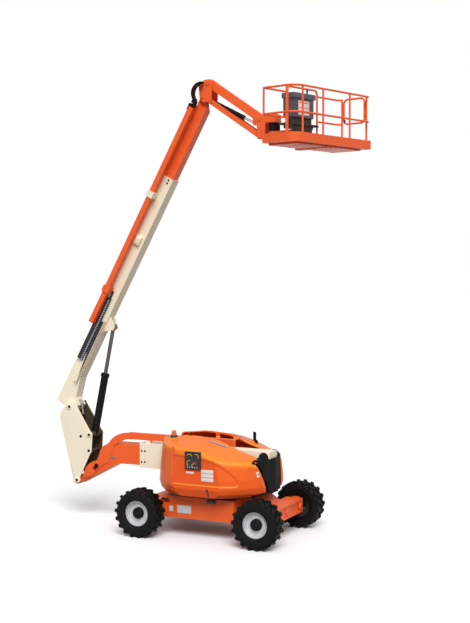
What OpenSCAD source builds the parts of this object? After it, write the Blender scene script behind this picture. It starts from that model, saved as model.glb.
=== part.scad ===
// Articulating boom lift: two-stage tower boom, upright, telescopic main boom, jib and work platform.
// Millimetres, +Z up, X towards the steered axle, origin on the ground midway between the axles.

/* [Wheels] */
// distance between the axles
wheelbase = 2460; // [2000:10:3000]
// distance between the wheel centre planes
track = 2090; // [1800:10:2400]
// tyre diameter over the lugs
tyre_d = 922; // [700:1:1100]
// tyre width
tyre_w = 350; // [250:1:450]
// height of a tread lug
lug_h = 30; // [10:1:50]
// width of a tread lug along the tread
lug_w = 62; // [30:1:100]
// length of a tread lug across the tread
lug_l = 165; // [100:1:220]
// lugs on each side of the tread
lug_count = 18; // [8:1:30]
// slant of a lug in degrees
lug_slant = 28; // [0:1:45]
// rim diameter at the flange
rim_d = 486; // [350:1:600]
// rim wall thickness
rim_wall = 16; // [6:1:30]
// diameter of the wheel hub cover
hub_d = 205; // [120:1:300]
// distance from the wheel centre plane out to the hub cover face
hub_out = 120; // [60:1:170]
// distance from the wheel centre plane out to the rim disc
disc_out = 62; // [0:1:120]
// distance from the wheel centre plane in to the hub's inner face
hub_in = 60; // [20:1:100]

/* [Chassis] */
// height of the chassis underside
chassis_z0 = 360; // [250:1:450]
// height of the chassis top
chassis_z1 = 775; // [600:1:900]
// half width of the chassis box
chassis_hw = 750; // [500:1:800]
// rear end of the chassis box
chassis_x0 = -900; // [-1100:1:-600]
// front end of the wide chassis box
chassis_x1 = 610; // [300:1:800]
// half width of the chassis neck between the steered wheels
neck_hw = 400; // [250:1:500]
// top corner of the neck where it slopes down
neck_slope_x = 860; // [700:1:1000]
// lifting pocket in the chassis side: start and height
pocket_at = [-850, 665]; // [-900:1:800]
// length of the lifting pocket between its round ends
pocket_l = 100; // [40:1:200]
// half height of the lifting pocket
pocket_r = 26; // [10:1:50]
// depth of the lifting pocket
pocket_depth = 60; // [20:1:100]
// height of both axle beams' undersides
axle_z0 = 375; // [300:1:420]
// height of both axle beams' tops
axle_z1 = 640; // [500:1:700]
// half depth of an axle beam fore and aft
axle_hx = 170; // [80:1:200]
// half length of an axle beam
axle_hy = 740; // [600:1:780]
// depth of the recess in the front axle's face
axle_recess = 25; // [5:1:60]
// margin of that recess from the beam's edges
axle_margin = 45; // [20:1:90]
// radius of the boss on the front axle's face
axle_boss_r = 75; // [30:1:110]
// distance of the kingpins from the centre line
kingpin_y = 800; // [700:1:850]
// kingpin radius
kingpin_r = 30; // [15:1:50]
// half width of the yoke that holds a kingpin
yoke_hx = 60; // [40:1:90]
// thickness of a yoke ear
yoke_t = 40; // [15:1:60]
// outer end of the yoke ears
yoke_y = 850; // [800:1:865]
// radius of the knuckle body
knuckle_r = 58; // [40:1:80]
// wheel spindle radius
spindle_r = 38; // [20:1:60]
// radius of the rear axle tube
rear_tube_r = 90; // [50:1:120]
// swing bearing radius
swing_r = 520; // [300:1:700]
// height of the swing bearing
swing_h = 70; // [30:1:120]
// radius of the tie-down holes
tie_hole_r = 28; // [15:1:45]
// thickness of the tie-down ears
tie_t = 30; // [15:1:50]
// reach of a tie-down ear from the axle beam
tie_reach = 130; // [80:1:160]
// half width of a tie-down ear
tie_hw = 60; // [45:1:110]
// distance of the tie-down ears from the centre line
tie_y = 420; // [300:1:600]

/* [Turntable] */
// thickness of the turntable base disc
base_disc_t = 15; // [5:1:40]
// thickness of the turntable deck
deck_t = 40; // [20:1:80]
// radius that the deck's outline follows
deck_r = 1100; // [1000:1:1120]
// outline of the deck, shares of that radius
deck_shares = [[-0.93, 0.36], [-0.70, 0.68], [-0.41, 0.87], [0.41, 0.87], [0.73, 0.64], [0.93, 0.35], [1.03, 0.14]];
// inner face of the boom support plates
support_y = 230; // [190:1:300]
// thickness of the boom support plates
support_t = 30; // [10:1:60]
// rear foot of the boom support plates
support_x0 = -320; // [-500:1:100]
// front foot of the boom support plates
support_foot_x = 1030; // [950:1:1060]
// front edge of the boom support plates
support_x1 = 1065; // [1000:1:1080]
// height where the support plates' slope starts
support_low_z = 1010; // [950:1:1100]
// tower pivot, fore and aft
tower_x = 1000; // [900:1:1100]
// tower pivot height
tower_z = 1550; // [1400:1:1650]
// tower pivot pin radius
tower_pin_r = 45; // [25:1:70]
// radius of the support plates' head around the pivot
support_head_r = 95; // [70:1:110]
// reach of the counterweight's nose from the swing axis
weight_x1 = 1190; // [1170:1:1250]
// outline of the counterweight from above, shares of that reach
weight_shares = [[1, 0.10], [0.95, 0.218], [0.882, 0.373], [0.734, 0.609], [0.66, 0.68]];
// counterweight top
weight_z1 = 1535; // [1450:1:1560]
// counterweight chamfers: foot reach, foot height, top
weight_cuts = [76, 185, 30]; // [10:1:400]
// gap between the counterweight and the doors
weight_gap = 10; // [6:1:20]
// drop of the counterweight's sill below the tower boom
weight_sill = 24; // [15:1:60]
// rear end of the engine block
engine_x0 = -60; // [-300:1:300]
// distance of the engine block from the deck's edge
engine_inset = 70; // [40:1:150]
// engine block length, width and height
engine_size = [560, 460, 520]; // [200:1:800]

/* [Hoods] */
// hood wall thickness
hood_t = 20; // [5:1:40]
// inner edge of the hoods at the boom slot
hood_y0 = 360; // [300:1:420]
// flat outer face of the hoods
hood_y1 = 1100; // [1050:1:1150]
// foot of the hoods, where the skirt tucks in
hood_foot_y = 1050; // [1000:1:1090]
// height where the skirt tucks in
hood_bulge_z = 1000; // [950:1:1100]
// radius of the hoods about the swing axis
hood_r = 1200; // [1150:1:1250]
// hood underside
hood_z0 = 856; // [850:1:950]
// top crown height at the rear corner
hood_z1 = 1893; // [1700:1:2000]
// rear end of the hood's side outline
hood_x0 = -1250; // [-1300:1:-1210]
// seam between the fixed corner panels and the doors
hood_seam = -517; // [-600:1:-400]
// half gap at that seam
hood_gap = 4; // [2:1:10]
// front end of the doors beside the counterweight
hood_x1 = 1112; // [1080:1:1130]
// crown of the hood from the side, shares of the length from the rear and of the height
hood_crown_shares = [[0, 0.939], [0.106, 0.960], [0.191, 0.980], [0.297, 1.0], [0.432, 0.989], [0.546, 0.9585], [0.614, 0.910],
    [0.673, 0.864], [0.741, 0.811], [0.804, 0.766], [0.851, 0.733], [0.868, 0.7205]];
// front edge of the hood beside the counterweight, shares of the length and of the height
hood_front_shares = [[0.8975, 0.693], [0.9335, 0.631], [0.961, 0.515], [0.9814, 0.3558], [0.9941, 0.1909], [1, 0.0617]];
// dome of the hoods about the swing axis, shares of the radius and of the height
hood_dome_shares = [[0.917, 0], [0.975, 0.071], [1, 0.168], [0.996, 0.332], [0.977, 0.573], [0.96, 0.785], [0.948, 0.901],
    [0.917, 0.9585], [0.85, 0.9894], [0.733, 1]];
// rounded front shoulder of the hoods, shares of the radius and of the height
hood_lean_shares = [[0.75, 0], [0.842, -0.0193], [0.904, -0.0579], [0.95, -0.1157], [0.9875, -0.193], [1.042, -0.289],
    [1.133, -0.434], [1.583, -1.254]];
// place of that shoulder's top centre, fore and aft, and height
hood_lean_at = [120, 1834]; // [0:1:1900]
// slope of the hood's front crown
hood_lean = 18; // [12:0.5:22]
// fall of the hood's crown from the boom slot outwards
hood_fall = 10; // [4:0.5:14]
// steps of a smooth outline between two of its points
curve_steps = 3; // [1:1:6]
// upper edge of the recessed side panel, shares of the hood's length and height
panel_edge_shares = [[0.3, 0.7387], [0.434, 0.7338], [0.5838, 0.6914], [0.6956, 0.6307], [0.7637, 0.5381], [0.8196, 0.4282],
    [0.851, 0.3365], [0.8565, 0.2498], [0.8425, 0.216]];
// lower edge of the recessed side panel, share of the height
panel_foot_share = 0.2208;
// depth of the recessed side panel
panel_depth = 11; // [4:1:15]
// hinge pin radius of the doors
hinge_r = 12; // [6:1:25]
// hinge knuckle radius of the doors
knuckle_out_r = 24; // [15:1:40]
// length of a hinge knuckle
hinge_l = 90; // [40:1:160]
// places of the two hinges along the slot
hinge_xs = [-300, 100]; // [-400:1:150]
// hinge height
hinge_z = 1765; // [1700:1:1770]
// thickness of a hinge bracket
hinge_t = 14; // [6:1:30]
// ground control panel, rear end, underside
panel_lo = [-222, 1385]; // [-400:1:1600]
// ground control panel length, depth and height
panel_size = [328, 46, 332]; // [20:1:500]
// beacon place on the rear corner
beacon_at = [-772, -512]; // [-900:1:0]
// height of the beacon's foot
beacon_z = 1866; // [1750:1:1950]
// beacon base radius and height
beacon_base = [72, 40]; // [20:1:100]
// height of the seat under the beacon
beacon_seat = 55; // [30:1:100]
// beacon dome radius and height
beacon_dome = [52, 100]; // [20:1:150]
// exhaust pipe place on the far hood
exhaust_at = [420, 640]; // [200:1:900]
// exhaust pipe radius
exhaust_r = 32; // [15:1:60]
// height of the exhaust pipe's foot and of its mouth
exhaust_z = [1716, 1898]; // [1600:1:2000]
// wall of the exhaust pipe
exhaust_wall = 5; // [3:1:8]
// slope of the exhaust pipe's mouth
exhaust_slope = 25; // [0:1:40]

/* [Tower boom] */
// tower base front end
tower_base_x0 = -1728; // [-2000:1:-1400]
// tower base rear end behind the pivot
tower_tail = 90; // [60:1:150]
// tower base underside
tower_base_z0 = 1149; // [1050:1:1250]
// tower base top
tower_base_z1 = 1643; // [1550:1:1700]
// tower base half width
tower_base_hw = 172; // [120:1:200]
// tower base wall
tower_wall = 12; // [6:1:25]
// tower fly underside
tower_fly_z0 = 1192; // [1160:1:1250]
// tower fly top
tower_fly_z1 = 1600; // [1500:1:1630]
// tower fly half width
tower_fly_hw = 140; // [90:1:155]
// tower fly front end of the box
tower_fly_x0 = -2300; // [-2600:1:-1800]
// tower fly rear end inside the base
tower_fly_x1 = 520; // [0:1:900]
// length of the sliding pads
pad_l = 100; // [40:1:200]
// half width of the nose between the upright's plates
nose_hw = 150; // [80:1:180]
// where the nose leaves the fly's underside
nose_under_x = -2235; // [-2400:1:-2000]
// radius of the nose around the lower pivot
nose_r = 88; // [60:1:110]
// push tube height of its underside and top
tower_tube_z = [1700, 1830]; // [1650:1:1900]
// push tube half width
tower_tube_hw = 55; // [20:1:70]
// push tube offset to the near side
tower_tube_y = -95; // [-110:1:0]
// push tube ends
tower_tube_x = [-2010, 320]; // [-2300:1:600]
// front edge of the curved bracket, shares of the way from the low pin to the push tube, along and up
neck_front_shares = [[0.075, 0.02], [0.164, 0.257], [0.282, 0.372], [0.40, 0.43], [0.459, 0.62], [0.517, 0.705], [0.614, 0.767],
    [0.691, 0.866], [0.787, 0.939], [0.90, 0.985], [1.0, 1.0]];
// back edge of the curved bracket, the same shares from the push tube down
neck_back_shares = [[1.04, 0.873], [0.959, 0.862], [0.834, 0.80], [0.735, 0.72], [0.700, 0.60], [0.65, 0.48], [0.593, 0.387], [0.515, 0.335],
    [0.44, 0.27], [0.30, 0.10]];
// share on the front edge where the nose meets the fly box
neck_nose_count = 18; // [12:1:24]
// radius of the hole through the nose
nose_hole_r = 48; // [20:1:70]
// place of that hole, shares as for the bracket
nose_hole_shares = [0.335, 0.24];
// thickness of the curved bracket that carries the push tube
gooseneck_t = 22; // [8:1:40]
// saddle length under the push tube
saddle_l = 90; // [40:1:200]
// places of the push tube saddles
saddle_xs = [-1600, -420]; // [-1700:1:200]
// tower cylinder base pin
tower_cyl_base = [700, 1000]; // [600:1:1100]
// tower cylinder rod pin
tower_cyl_eye = [-550, 1095]; // [-800:1:1200]
// tower cylinder barrel radius
tower_barrel_r = 62; // [40:1:90]
// tower cylinder rod radius
tower_rod_r = 36; // [20:1:60]
// tower cylinder barrel length
tower_barrel_l = 1080; // [800:1:1200]

/* [Upright] */
// lower pivot of the upright
low_pin = [-3175.7, 800.6]; // [-3400:1:1000]
// main boom pivot
main_pin = [-3351.5, 2294]; // [-3500:1:2500]
// lift cylinder pin
lift_pin = [-2873, 1746]; // [-3000:1:1900]
// level link pin
link_pin = [-2889, 1416]; // [-3000:1:1600]
// master cylinder pin
master_pin = [-3078, 1702.5]; // [-3300:1:1900]
// inner face of the upright plates
upright_y = 200; // [150:1:250]
// thickness of the upright plates
upright_t = 22; // [8:1:40]
// radius of the plates around the main pivot
upright_top_r = 150; // [100:1:200]
// radius of the plates around the lower pivot
upright_low_r = 78; // [60:1:110]
// radius of the plates around the link and cylinder pins
upright_side_r = 62; // [45:1:90]
// radius of the large pins
pin_r = 40; // [25:1:60]
// radius of the small pins
small_pin_r = 25; // [12:1:40]
// radius of pin heads
pin_head_r = 58; // [40:1:80]
// thickness of pin heads
pin_head_t = 16; // [5:1:30]
// thickness of the upright's back web
web_t = 20; // [8:1:40]
// height of the web's lower end
web_z0 = 1060; // [950:1:1300]
// height of the web's upper end
web_z1 = 1900; // [1600:1:2000]

/* [Main boom] */
// boom angle above the horizontal in the stored pose
boom_angle = 61.4; // [-5:0.1:75]
// distance of the base box's underside from the pivot line
boom_v0 = 100; // [60:1:140]
// distance of the base box's top from the pivot line
boom_v1 = 370; // [320:1:420]
// half width of the base box
boom_hw = 125; // [90:1:150]
// base box front end along the boom
boom_u1 = 5120; // [4500:1:5600]
// how far the rear plates reach behind the pivot
boom_tail = 105; // [60:1:150]
// base box wall
boom_wall = 8; // [4:1:15]
// rear plates' length
boom_plate_l = 620; // [400:1:900]
// fly half depth
boom_fly_hv = 118; // [80:1:125]
// fly half width
boom_fly_hw = 100; // [70:1:115]
// fly wall
boom_fly_wall = 8; // [4:1:15]
// fly rear end inside the base
boom_fly_u0 = 2000; // [1500:1:2600]
// fly box front end
boom_fly_u1 = 6620; // [6000:1:7000]
// boom head pin along and across the boom
head_u = 6820; // [6300:1:7200]
// boom head pin across the boom
head_v = 300; // [200:1:350]
// radius of the boom head eye
head_r = 60; // [40:1:90]
// half width of the boom head eye
head_hw = 60; // [40:1:100]
// push tube ends along the boom
boom_tube_u = [1800, 6560]; // [1500:1:6800]
// push tube across the boom, underside and top
boom_tube_v = [285, 390]; // [200:1:450]
// push tube offset to the near side
boom_tube_y = -250; // [-320:1:-180]
// push tube half width
boom_tube_hw = 48; // [25:1:70]
// places of the push tube's saddles
boom_saddle_us = [2500, 4620]; // [1500:1:5000]
// saddle length
boom_saddle_l = 130; // [60:1:250]
// hose carrier ends along the boom
chain_u = [520, 1900]; // [300:1:2500]
// hose carrier width
chain_w = 70; // [30:1:100]
// hose carrier depth across the boom
chain_h = 150; // [60:1:220]
// tray thickness under the hose carrier
tray_t = 8; // [3:1:20]
// links in the hose carrier
chain_count = 22; // [8:1:40]
// rod pin of the lift cylinder along and across the boom
lift_eye = [1885, -30]; // [-80:1:2200]
// lift cylinder barrel length
lift_barrel_l = 1256; // [1000:1:1500]
// lift cylinder barrel radius
lift_barrel_r = 75; // [50:1:100]
// lift cylinder rod radius
lift_rod_r = 40; // [25:1:60]
// half width of the cylinder eyes
eye_hw = 45; // [25:1:60]
// thickness of the cylinder lugs
lug_t = 22; // [8:1:40]
// rod pin of the master cylinder along and across the boom
master_eye = [140, -100]; // [-150:1:250]
// master cylinder barrel length and radius
master_barrel = [430, 34]; // [20:1:500]
// master cylinder rod radius
master_rod_r = 16; // [8:1:30]

/* [Jib] */
// jib angle above the horizontal
jib_angle = -34.4; // [-60:0.1:70]
// upper pivot of the jib at the boom head
jib_pin = [-219, 8677]; // [-400:1:8900]
// drop from the upper to the lower jib pivots
jib_drop = 328; // [250:1:400]
// length of the jib between pivots
jib_l = 1316; // [1000:1:1700]
// half depth of the jib tube
jib_hd = 78; // [40:1:100]
// half width of the jib channel
jib_hw = 60; // [30:1:80]
// wall of the jib channel
jib_wall = 10; // [5:1:20]
// half depth of the lower links
link_hd = 46; // [20:1:60]
// inner and outer face of the lower links
link_y = [65, 115]; // [40:1:150]
// inner face of the jib head and bracket plates
cheek_y = 125; // [118:1:160]
// thickness of these plates
cheek_t = 18; // [8:1:30]
// jib head outline, out from the upper pivot
jib_head_pts = [[-200, -60], [-175, -290], [-120, -352], [40, -396], [70, -370], [82, 20], [40, 66], [-60, 66], [-160, 20]]; // [-450:1:150]
// jib cylinder rod pin, back from the far pivot
jib_eye_back = 86; // [60:1:200]
// jib cylinder rod pin across the jib
jib_eye_drop = 136; // [100:1:180]
// jib cylinder barrel radius
jib_barrel_r = 45; // [30:1:48]
// jib cylinder barrel length, share of the distance between its pins
jib_barrel_share = 0.76;
// jib cylinder rod radius
jib_rod_r = 24; // [12:1:35]

/* [Platform] */
// distance from the jib's far pivots to the platform's turning axis
turn_reach = 241.2; // [200:0.1:350]
// platform turned from square to the jib
platform_turn = -16.34; // [-90:0.01:90]
// heights over the jib's lower far pivot: actuator underside, actuator top, bracket top
actuator_rises = [94.5, 256.5, 414.5]; // [50:0.1:600]
// radius of the turning actuator
actuator_r = 110; // [70:1:150]
// distance from the turning axis to the platform's back
platform_back = 651; // [550:1:800]
// platform width
platform_w = 761; // [600:1:1000]
// platform length
platform_l = 2263; // [1800:1:2500]
// platform underside below the jib's lower far pivot
platform_drop = 249.5; // [200:0.1:400]
// floor thickness
floor_t = 24; // [10:1:50]
// toe board height
toe_h = 162; // [100:1:220]
// toe board thickness
toe_t = 8; // [4:1:20]
// top rail height over the underside
rail_h = 995; // [900:1:1150]
// mid rail height over the underside
mid_h = 513; // [400:1:700]
// rail radius
rail_r = 19; // [12:1:30]
// corner radius at the rounded corner
corner_r = 220; // [100:1:300]
// posts along the front side, share of the length
front_post_shares = [0.356, 0.717];
// gate post places along the far end, share of the width
gate_shares = [0.12, 0.90];
// mount arm half width
arm_hw = 75; // [40:1:120]
// mount arm depth under the floor
arm_drop = 46; // [20:1:80]
// mount arm height at the turning axis
arm_h = 95; // [50:1:140]
// reach of the mount arm under the floor
arm_reach = 640; // [300:1:740]
// ribs under the floor, share of the length
rib_shares = [0.10, 0.34, 0.66, 0.90];
// half width of a floor rib
rib_hw = 45; // [20:1:80]
// depth of a floor rib
rib_h = 32; // [10:1:60]
// half width of the gap in the back rails where the console stands
console_gap = 440; // [380:1:600]
// height of the arch over the console above the top rail
arch_rise = 110; // [60:1:200]
// bend radius of the arch and of the gate
bend_r = 85; // [50:1:140]
// console tiers from the foot up: heights over the mount arm
console_zs = [0, 55, 92, 200, 548, 645]; // [0:1:900]
// half width of each tier
console_hws = [300, 412, 270, 300, 328]; // [100:1:420]
// reach of each tier behind the platform's back
console_backs = [190, 215, 175, 200, 215]; // [100:1:300]
// reach of each tier in front of the platform's back
console_fronts = [39, 85, 25, 50, 78]; // [10:1:150]
// joystick place behind the platform's back and along it
stick_at = [60, 240]; // [20:1:300]
// joystick radius and height
stick_size = [14, 80]; // [5:1:120]
// joystick knob radius
knob_r = 24; // [10:1:40]

/* [Fits] */
// clearance at pins, pads and seats
fit = 0.3; // [0.1:0.1:1]
// clearance of a cylinder tube from its pin's spacers
neck_gap = 6; // [5:1:20]

/* [Hidden] */
$fn = 48;
dome_steps = 144;
wheel_r = tyre_d / 2;
axle_x = wheelbase / 2;
wheel_y = track / 2;
rim_r = rim_d / 2;
hub_r = hub_d / 2;
deck_z = chassis_z1 + swing_h + base_disc_t;
deck_top = deck_z + deck_t;
hood_l = hood_x1 - hood_x0;
hood_h = hood_z1 - hood_z0;
hood_w = hood_y1 - hood_y0;
hood_top_shares = concat(curve(hood_crown_shares), [[2, hood_crown_shares[len(hood_crown_shares) - 1][1]], [2, -1], [0, -1]]);
weight_x0 = lookup(weight_z1, [for (q = hood_xz(curve(hood_front_shares))) [q[1], q[0]]]);
hood_side = concat(curve(hood_crown_shares), curve(hood_front_shares), [[1, 0], [0, 0]]);
deck_hw = deck_r * deck_shares[2][1];
weight_pocket_x = tower_x + norm([tower_tail, tower_base_z1 - tower_z]) + weight_gap;
boom_mid = (boom_v0 + boom_v1) / 2;
boom_c = cos(boom_angle);
boom_s = sin(boom_angle);
head_pin = [main_pin[0] + head_u * boom_c - head_v * boom_s, main_pin[1] + head_u * boom_s + head_v * boom_c];
jib_low = [jib_pin[0], jib_pin[1] - jib_drop];
jib_far = [jib_pin[0] + jib_l * cos(jib_angle), jib_pin[1] + jib_l * sin(jib_angle)];
jib_far_low = [jib_far[0], jib_far[1] - jib_drop];
lift_eye_w = [main_pin[0] + lift_eye[0] * boom_c - lift_eye[1] * boom_s,
    main_pin[1] + lift_eye[0] * boom_s + lift_eye[1] * boom_c];
master_eye_w = [main_pin[0] + master_eye[0] * boom_c - master_eye[1] * boom_s,
    main_pin[1] + master_eye[0] * boom_s + master_eye[1] * boom_c];
jib_eye = [jib_l - jib_eye_back, -jib_eye_drop];
turn_x = jib_far[0] + turn_reach;
actuator_z = [jib_far_low[1] + actuator_rises[0], jib_far_low[1] + actuator_rises[1]];
bracket_z1 = jib_far_low[1] + actuator_rises[2];
platform_z = jib_far_low[1] - platform_drop;
jib_eye_w = [jib_pin[0] + jib_eye[0] * cos(jib_angle) - jib_eye[1] * sin(jib_angle),
    jib_pin[1] + jib_eye[0] * sin(jib_angle) + jib_eye[1] * cos(jib_angle)];
jib_barrel_l = jib_barrel_share * norm(jib_eye_w - jib_low);
orange = [0.90, 0.34, 0.10];
cream = [0.93, 0.90, 0.82];
black = [0.06, 0.06, 0.06];
dark = [0.12, 0.11, 0.10];
steel = [0.75, 0.76, 0.78];
grey = [0.36, 0.36, 0.41];

// Outline given by one side of it, closed by its mirror image.
function two_sided(pts) = concat(pts, [for (i = [len(pts) - 1 : -1 : 0]) [pts[i][0], -pts[i][1]]]);
// Box given by its two corners.
module box(a, b) { translate(a) cube(b - a); }
// Flat outline in the XZ plane, thick from y0 to y1.
module slab(pts, y0, y1) { translate([0, y1, 0]) rotate([90, 0, 0]) linear_extrude(y1 - y0) polygon(pts); }
// Round bar across the machine at p, from y0 to y1.
module cross(p, r, y0, y1) { translate([p[0], y0, p[1]]) rotate([-90, 0, 0]) cylinder(r = r, h = y1 - y0); }
// Round bar along +X from x0 to x1.
module along(r, x0, x1) { translate([x0, 0, 0]) rotate([0, 90, 0]) cylinder(r = r, h = x1 - x0); }
// Children in a frame at p whose +X runs towards q, in the XZ plane.
module aim(p, q) { translate([p[0], 0, p[1]]) rotate([0, -atan2(q[1] - p[1], q[0] - p[0]), 0]) children(); }
// Children in the main boom's frame, +X along the boom.
module on_boom() { translate([main_pin[0], 0, main_pin[1]]) rotate([0, -boom_angle, 0]) children(); }
// Children in the jib's frame, +X along the jib.
module on_jib(p) { translate([p[0], 0, p[1]]) rotate([0, -jib_angle, 0]) children(); }
// Children in the platform's frame, +X away from the jib.
module on_platform() { translate([turn_x, 0, 0]) rotate([0, 0, platform_turn]) children(); }
// Children on both sides of the centre plane.
module both() { children(); mirror([0, 1, 0]) children(); }

module wheel_at(sx, sy) {
    translate([sx * axle_x, sy * wheel_y, wheel_r]) rotate([sy > 0 ? -90 : 90, 0, 0]) children();
}

module tyre() {
    tread_r = wheel_r - lug_h;
    bead_r = rim_r + fit;
    tyre_shares = [[0, 0.38], [0.10, 0.42], [0.40, 0.5], [0.80, 0.49], [1, 0.40]];
    color(black) union() {
        rotate_extrude($fn = 72) polygon(concat(
            [for (s = tyre_shares) [bead_r + s[0] * (tread_r - bead_r), -s[1] * tyre_w]],
            [for (i = [len(tyre_shares) - 1 : -1 : 0])
                [bead_r + tyre_shares[i][0] * (tread_r - bead_r), tyre_shares[i][1] * tyre_w]]));
        intersection() {
            translate([0, 0, -tyre_w / 2]) cylinder(r = wheel_r, h = tyre_w, $fn = 72);
            for (side = [-1, 1]) for (i = [0 : lug_count - 1])
                rotate([0, 0, (i + (side > 0 ? 0.5 : 0)) * 360 / lug_count + 90])
                    translate([wheel_r - lug_h, 0, side * (tyre_w - lug_l) / 2])
                    rotate([side * lug_slant, 0, 0]) cube([lug_h * 3, lug_w, lug_l], center = true);
        }
    }
}

module rim() {
    color(steel) rotate_extrude($fn = 72) polygon([
        [0, -hub_in], [hub_r, -hub_in], [hub_r, disc_out - rim_wall], [rim_r - rim_wall, disc_out - rim_wall],
        [rim_r - rim_wall, -tyre_w * rim_shares[0]], [rim_r, -tyre_w * rim_shares[0]], [rim_r, tyre_w * rim_shares[0]],
        [rim_r - rim_wall, tyre_w * rim_shares[0]], [rim_r - rim_wall, disc_out], [hub_r, disc_out],
        [hub_r, hub_out - rim_wall], [hub_r - rim_wall, hub_out], [0, hub_out]]);
}
rim_shares = [0.36];

module tyre_front_near() { wheel_at(1, -1) tyre(); }
module tyre_front_far() { wheel_at(1, 1) tyre(); }
module tyre_rear_near() { wheel_at(-1, -1) tyre(); }
module tyre_rear_far() { wheel_at(-1, 1) tyre(); }
module rim_front_near() { wheel_at(1, -1) rim(); }
module rim_front_far() { wheel_at(1, 1) rim(); }
module rim_rear_near() { wheel_at(-1, -1) rim(); }
module rim_rear_far() { wheel_at(-1, 1) rim(); }

module chassis_frame() {
    color(orange) difference() {
        union() {
        box([chassis_x0, -chassis_hw, chassis_z0], [chassis_x1, chassis_hw, chassis_z1]);
        slab([[chassis_x1, chassis_z0], [axle_x - axle_hx, axle_z0], [axle_x - axle_hx, axle_z1],
            [neck_slope_x, chassis_z1], [chassis_x1, chassis_z1]], -neck_hw, neck_hw);
        slab([[chassis_x0, chassis_z0], [axle_hx - axle_x, axle_z0], [axle_hx - axle_x, axle_z1],
            [chassis_x0, axle_z1]], -neck_hw, neck_hw);
        }
        both() for (x = [pocket_at[0], pocket_at[0] + pocket_l]) cross([x, pocket_at[1]], pocket_r, chassis_hw - pocket_depth, chassis_hw + pocket_depth);
        both() box([pocket_at[0], chassis_hw - pocket_depth, pocket_at[1] - pocket_r],
            [pocket_at[0] + pocket_l, chassis_hw + pocket_depth, pocket_at[1] + pocket_r]);
    }
}

module tie_ear(x, s) {
    hole_x = x + s * (tie_reach - tie_hw * tie_hole_share);
    both() difference() {
        union() {
            box([min(x, hole_x), tie_y - tie_hw, axle_z0], [max(x, hole_x), tie_y + tie_hw, axle_z0 + tie_t]);
            translate([hole_x, tie_y, axle_z0]) cylinder(r = tie_hw, h = tie_t);
        }
        translate([hole_x, tie_y, axle_z0 - tie_t]) cylinder(r = tie_hole_r, h = tie_t * 3);
    }
}
tie_hole_share = 0.72;

module front_axle() {
    color(orange) union() {
        difference() {
            box([axle_x - axle_hx, -axle_hy, axle_z0], [axle_x + axle_hx, axle_hy, axle_z1]);
            box([axle_x + axle_hx - axle_recess, -axle_hy + axle_margin, axle_z0 + axle_margin],
                [axle_x + axle_hx + axle_recess, axle_hy - axle_margin, axle_z1 - axle_margin]);
        }
        translate([0, 0, (axle_z0 + axle_z1) / 2]) along(axle_boss_r, axle_x, axle_x + axle_hx);
        both() {
            box([axle_x - yoke_hx, axle_hy, axle_z0 - yoke_t], [axle_x + yoke_hx, yoke_y, axle_z0]);
            box([axle_x - yoke_hx, axle_hy, axle_z1 - yoke_t], [axle_x + yoke_hx, yoke_y, axle_z1]);
            box([axle_x - yoke_hx, axle_hy - yoke_t, axle_z0 - yoke_t], [axle_x + yoke_hx, axle_hy, axle_z0]);
            translate([axle_x, kingpin_y, axle_z0]) cylinder(r = kingpin_r, h = axle_z1 - yoke_t - axle_z0);
        }
    }
}

module knuckle() {
    color(black) difference() {
        union() {
            translate([axle_x, kingpin_y, axle_z0 + fit]) cylinder(r = knuckle_r - kingpin_r * knuckle_shares[0],
                h = axle_z1 - yoke_t - axle_z0 - 2 * fit);
            cross([axle_x, wheel_r], spindle_r, kingpin_y, wheel_y - hub_in - fit);
        }
        translate([axle_x, kingpin_y, axle_z0 - yoke_t]) cylinder(r = kingpin_r + fit, h = axle_z1 - axle_z0 + yoke_t);
    }
}
knuckle_shares = [0.2];
module knuckle_near() { mirror([0, 1, 0]) knuckle(); }
module knuckle_far() { knuckle(); }

module rear_axle() {
    color(orange) union() {
        box([-axle_x - axle_hx, -axle_hy, axle_z0], [-axle_x + axle_hx, axle_hy, axle_z1]);
        cross([-axle_x, wheel_r], rear_tube_r - axle_recess, fit + hub_in - wheel_y, wheel_y - hub_in - fit);
        tie_ear(-axle_x - axle_hx, -1);
    }
}

module swing_ring() {
    color(black) translate([0, 0, chassis_z1]) cylinder(r = swing_r, h = swing_h - fit);
}

module turntable_frame() {
    color(dark) union() {
        translate([0, 0, deck_z - base_disc_t]) cylinder(r = swing_r, h = base_disc_t);
        translate([0, 0, deck_z]) linear_extrude(deck_t) polygon(deck_r * two_sided(deck_shares));
        both() union() {
            slab([[support_x0, deck_top], [support_foot_x, deck_top], [support_x1, support_low_z],
                [tower_x + support_head_r, tower_z], [tower_x - support_head_r, tower_z], [support_x0, support_low_z]],
                support_y, support_y + support_t);
            cross([tower_x, tower_z], support_head_r, support_y, support_y + support_t);
            for (x = hinge_xs) {
                box([x - hinge_t, support_y + support_t, support_low_z], [x, hood_y0 - knuckle_out_r, support_low_z + hinge_t * 4]);
                box([x - hinge_t, hood_y0 - knuckle_out_r * 2, support_low_z], [x, hood_y0 - knuckle_out_r, hinge_z]);
                box([x - hinge_t, hood_y0 - knuckle_out_r * 2, hinge_z - hinge_r], [x, hood_y0 + hinge_r, hinge_z + hinge_r]);
                translate([0, hood_y0, hinge_z]) along(hinge_r, x - hinge_t, x + hinge_l);
            }
        }
        cross([tower_x, tower_z], tower_pin_r, -support_y, support_y);
        cross(tower_cyl_base, pin_r, -support_y, support_y);
    }
}

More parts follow.
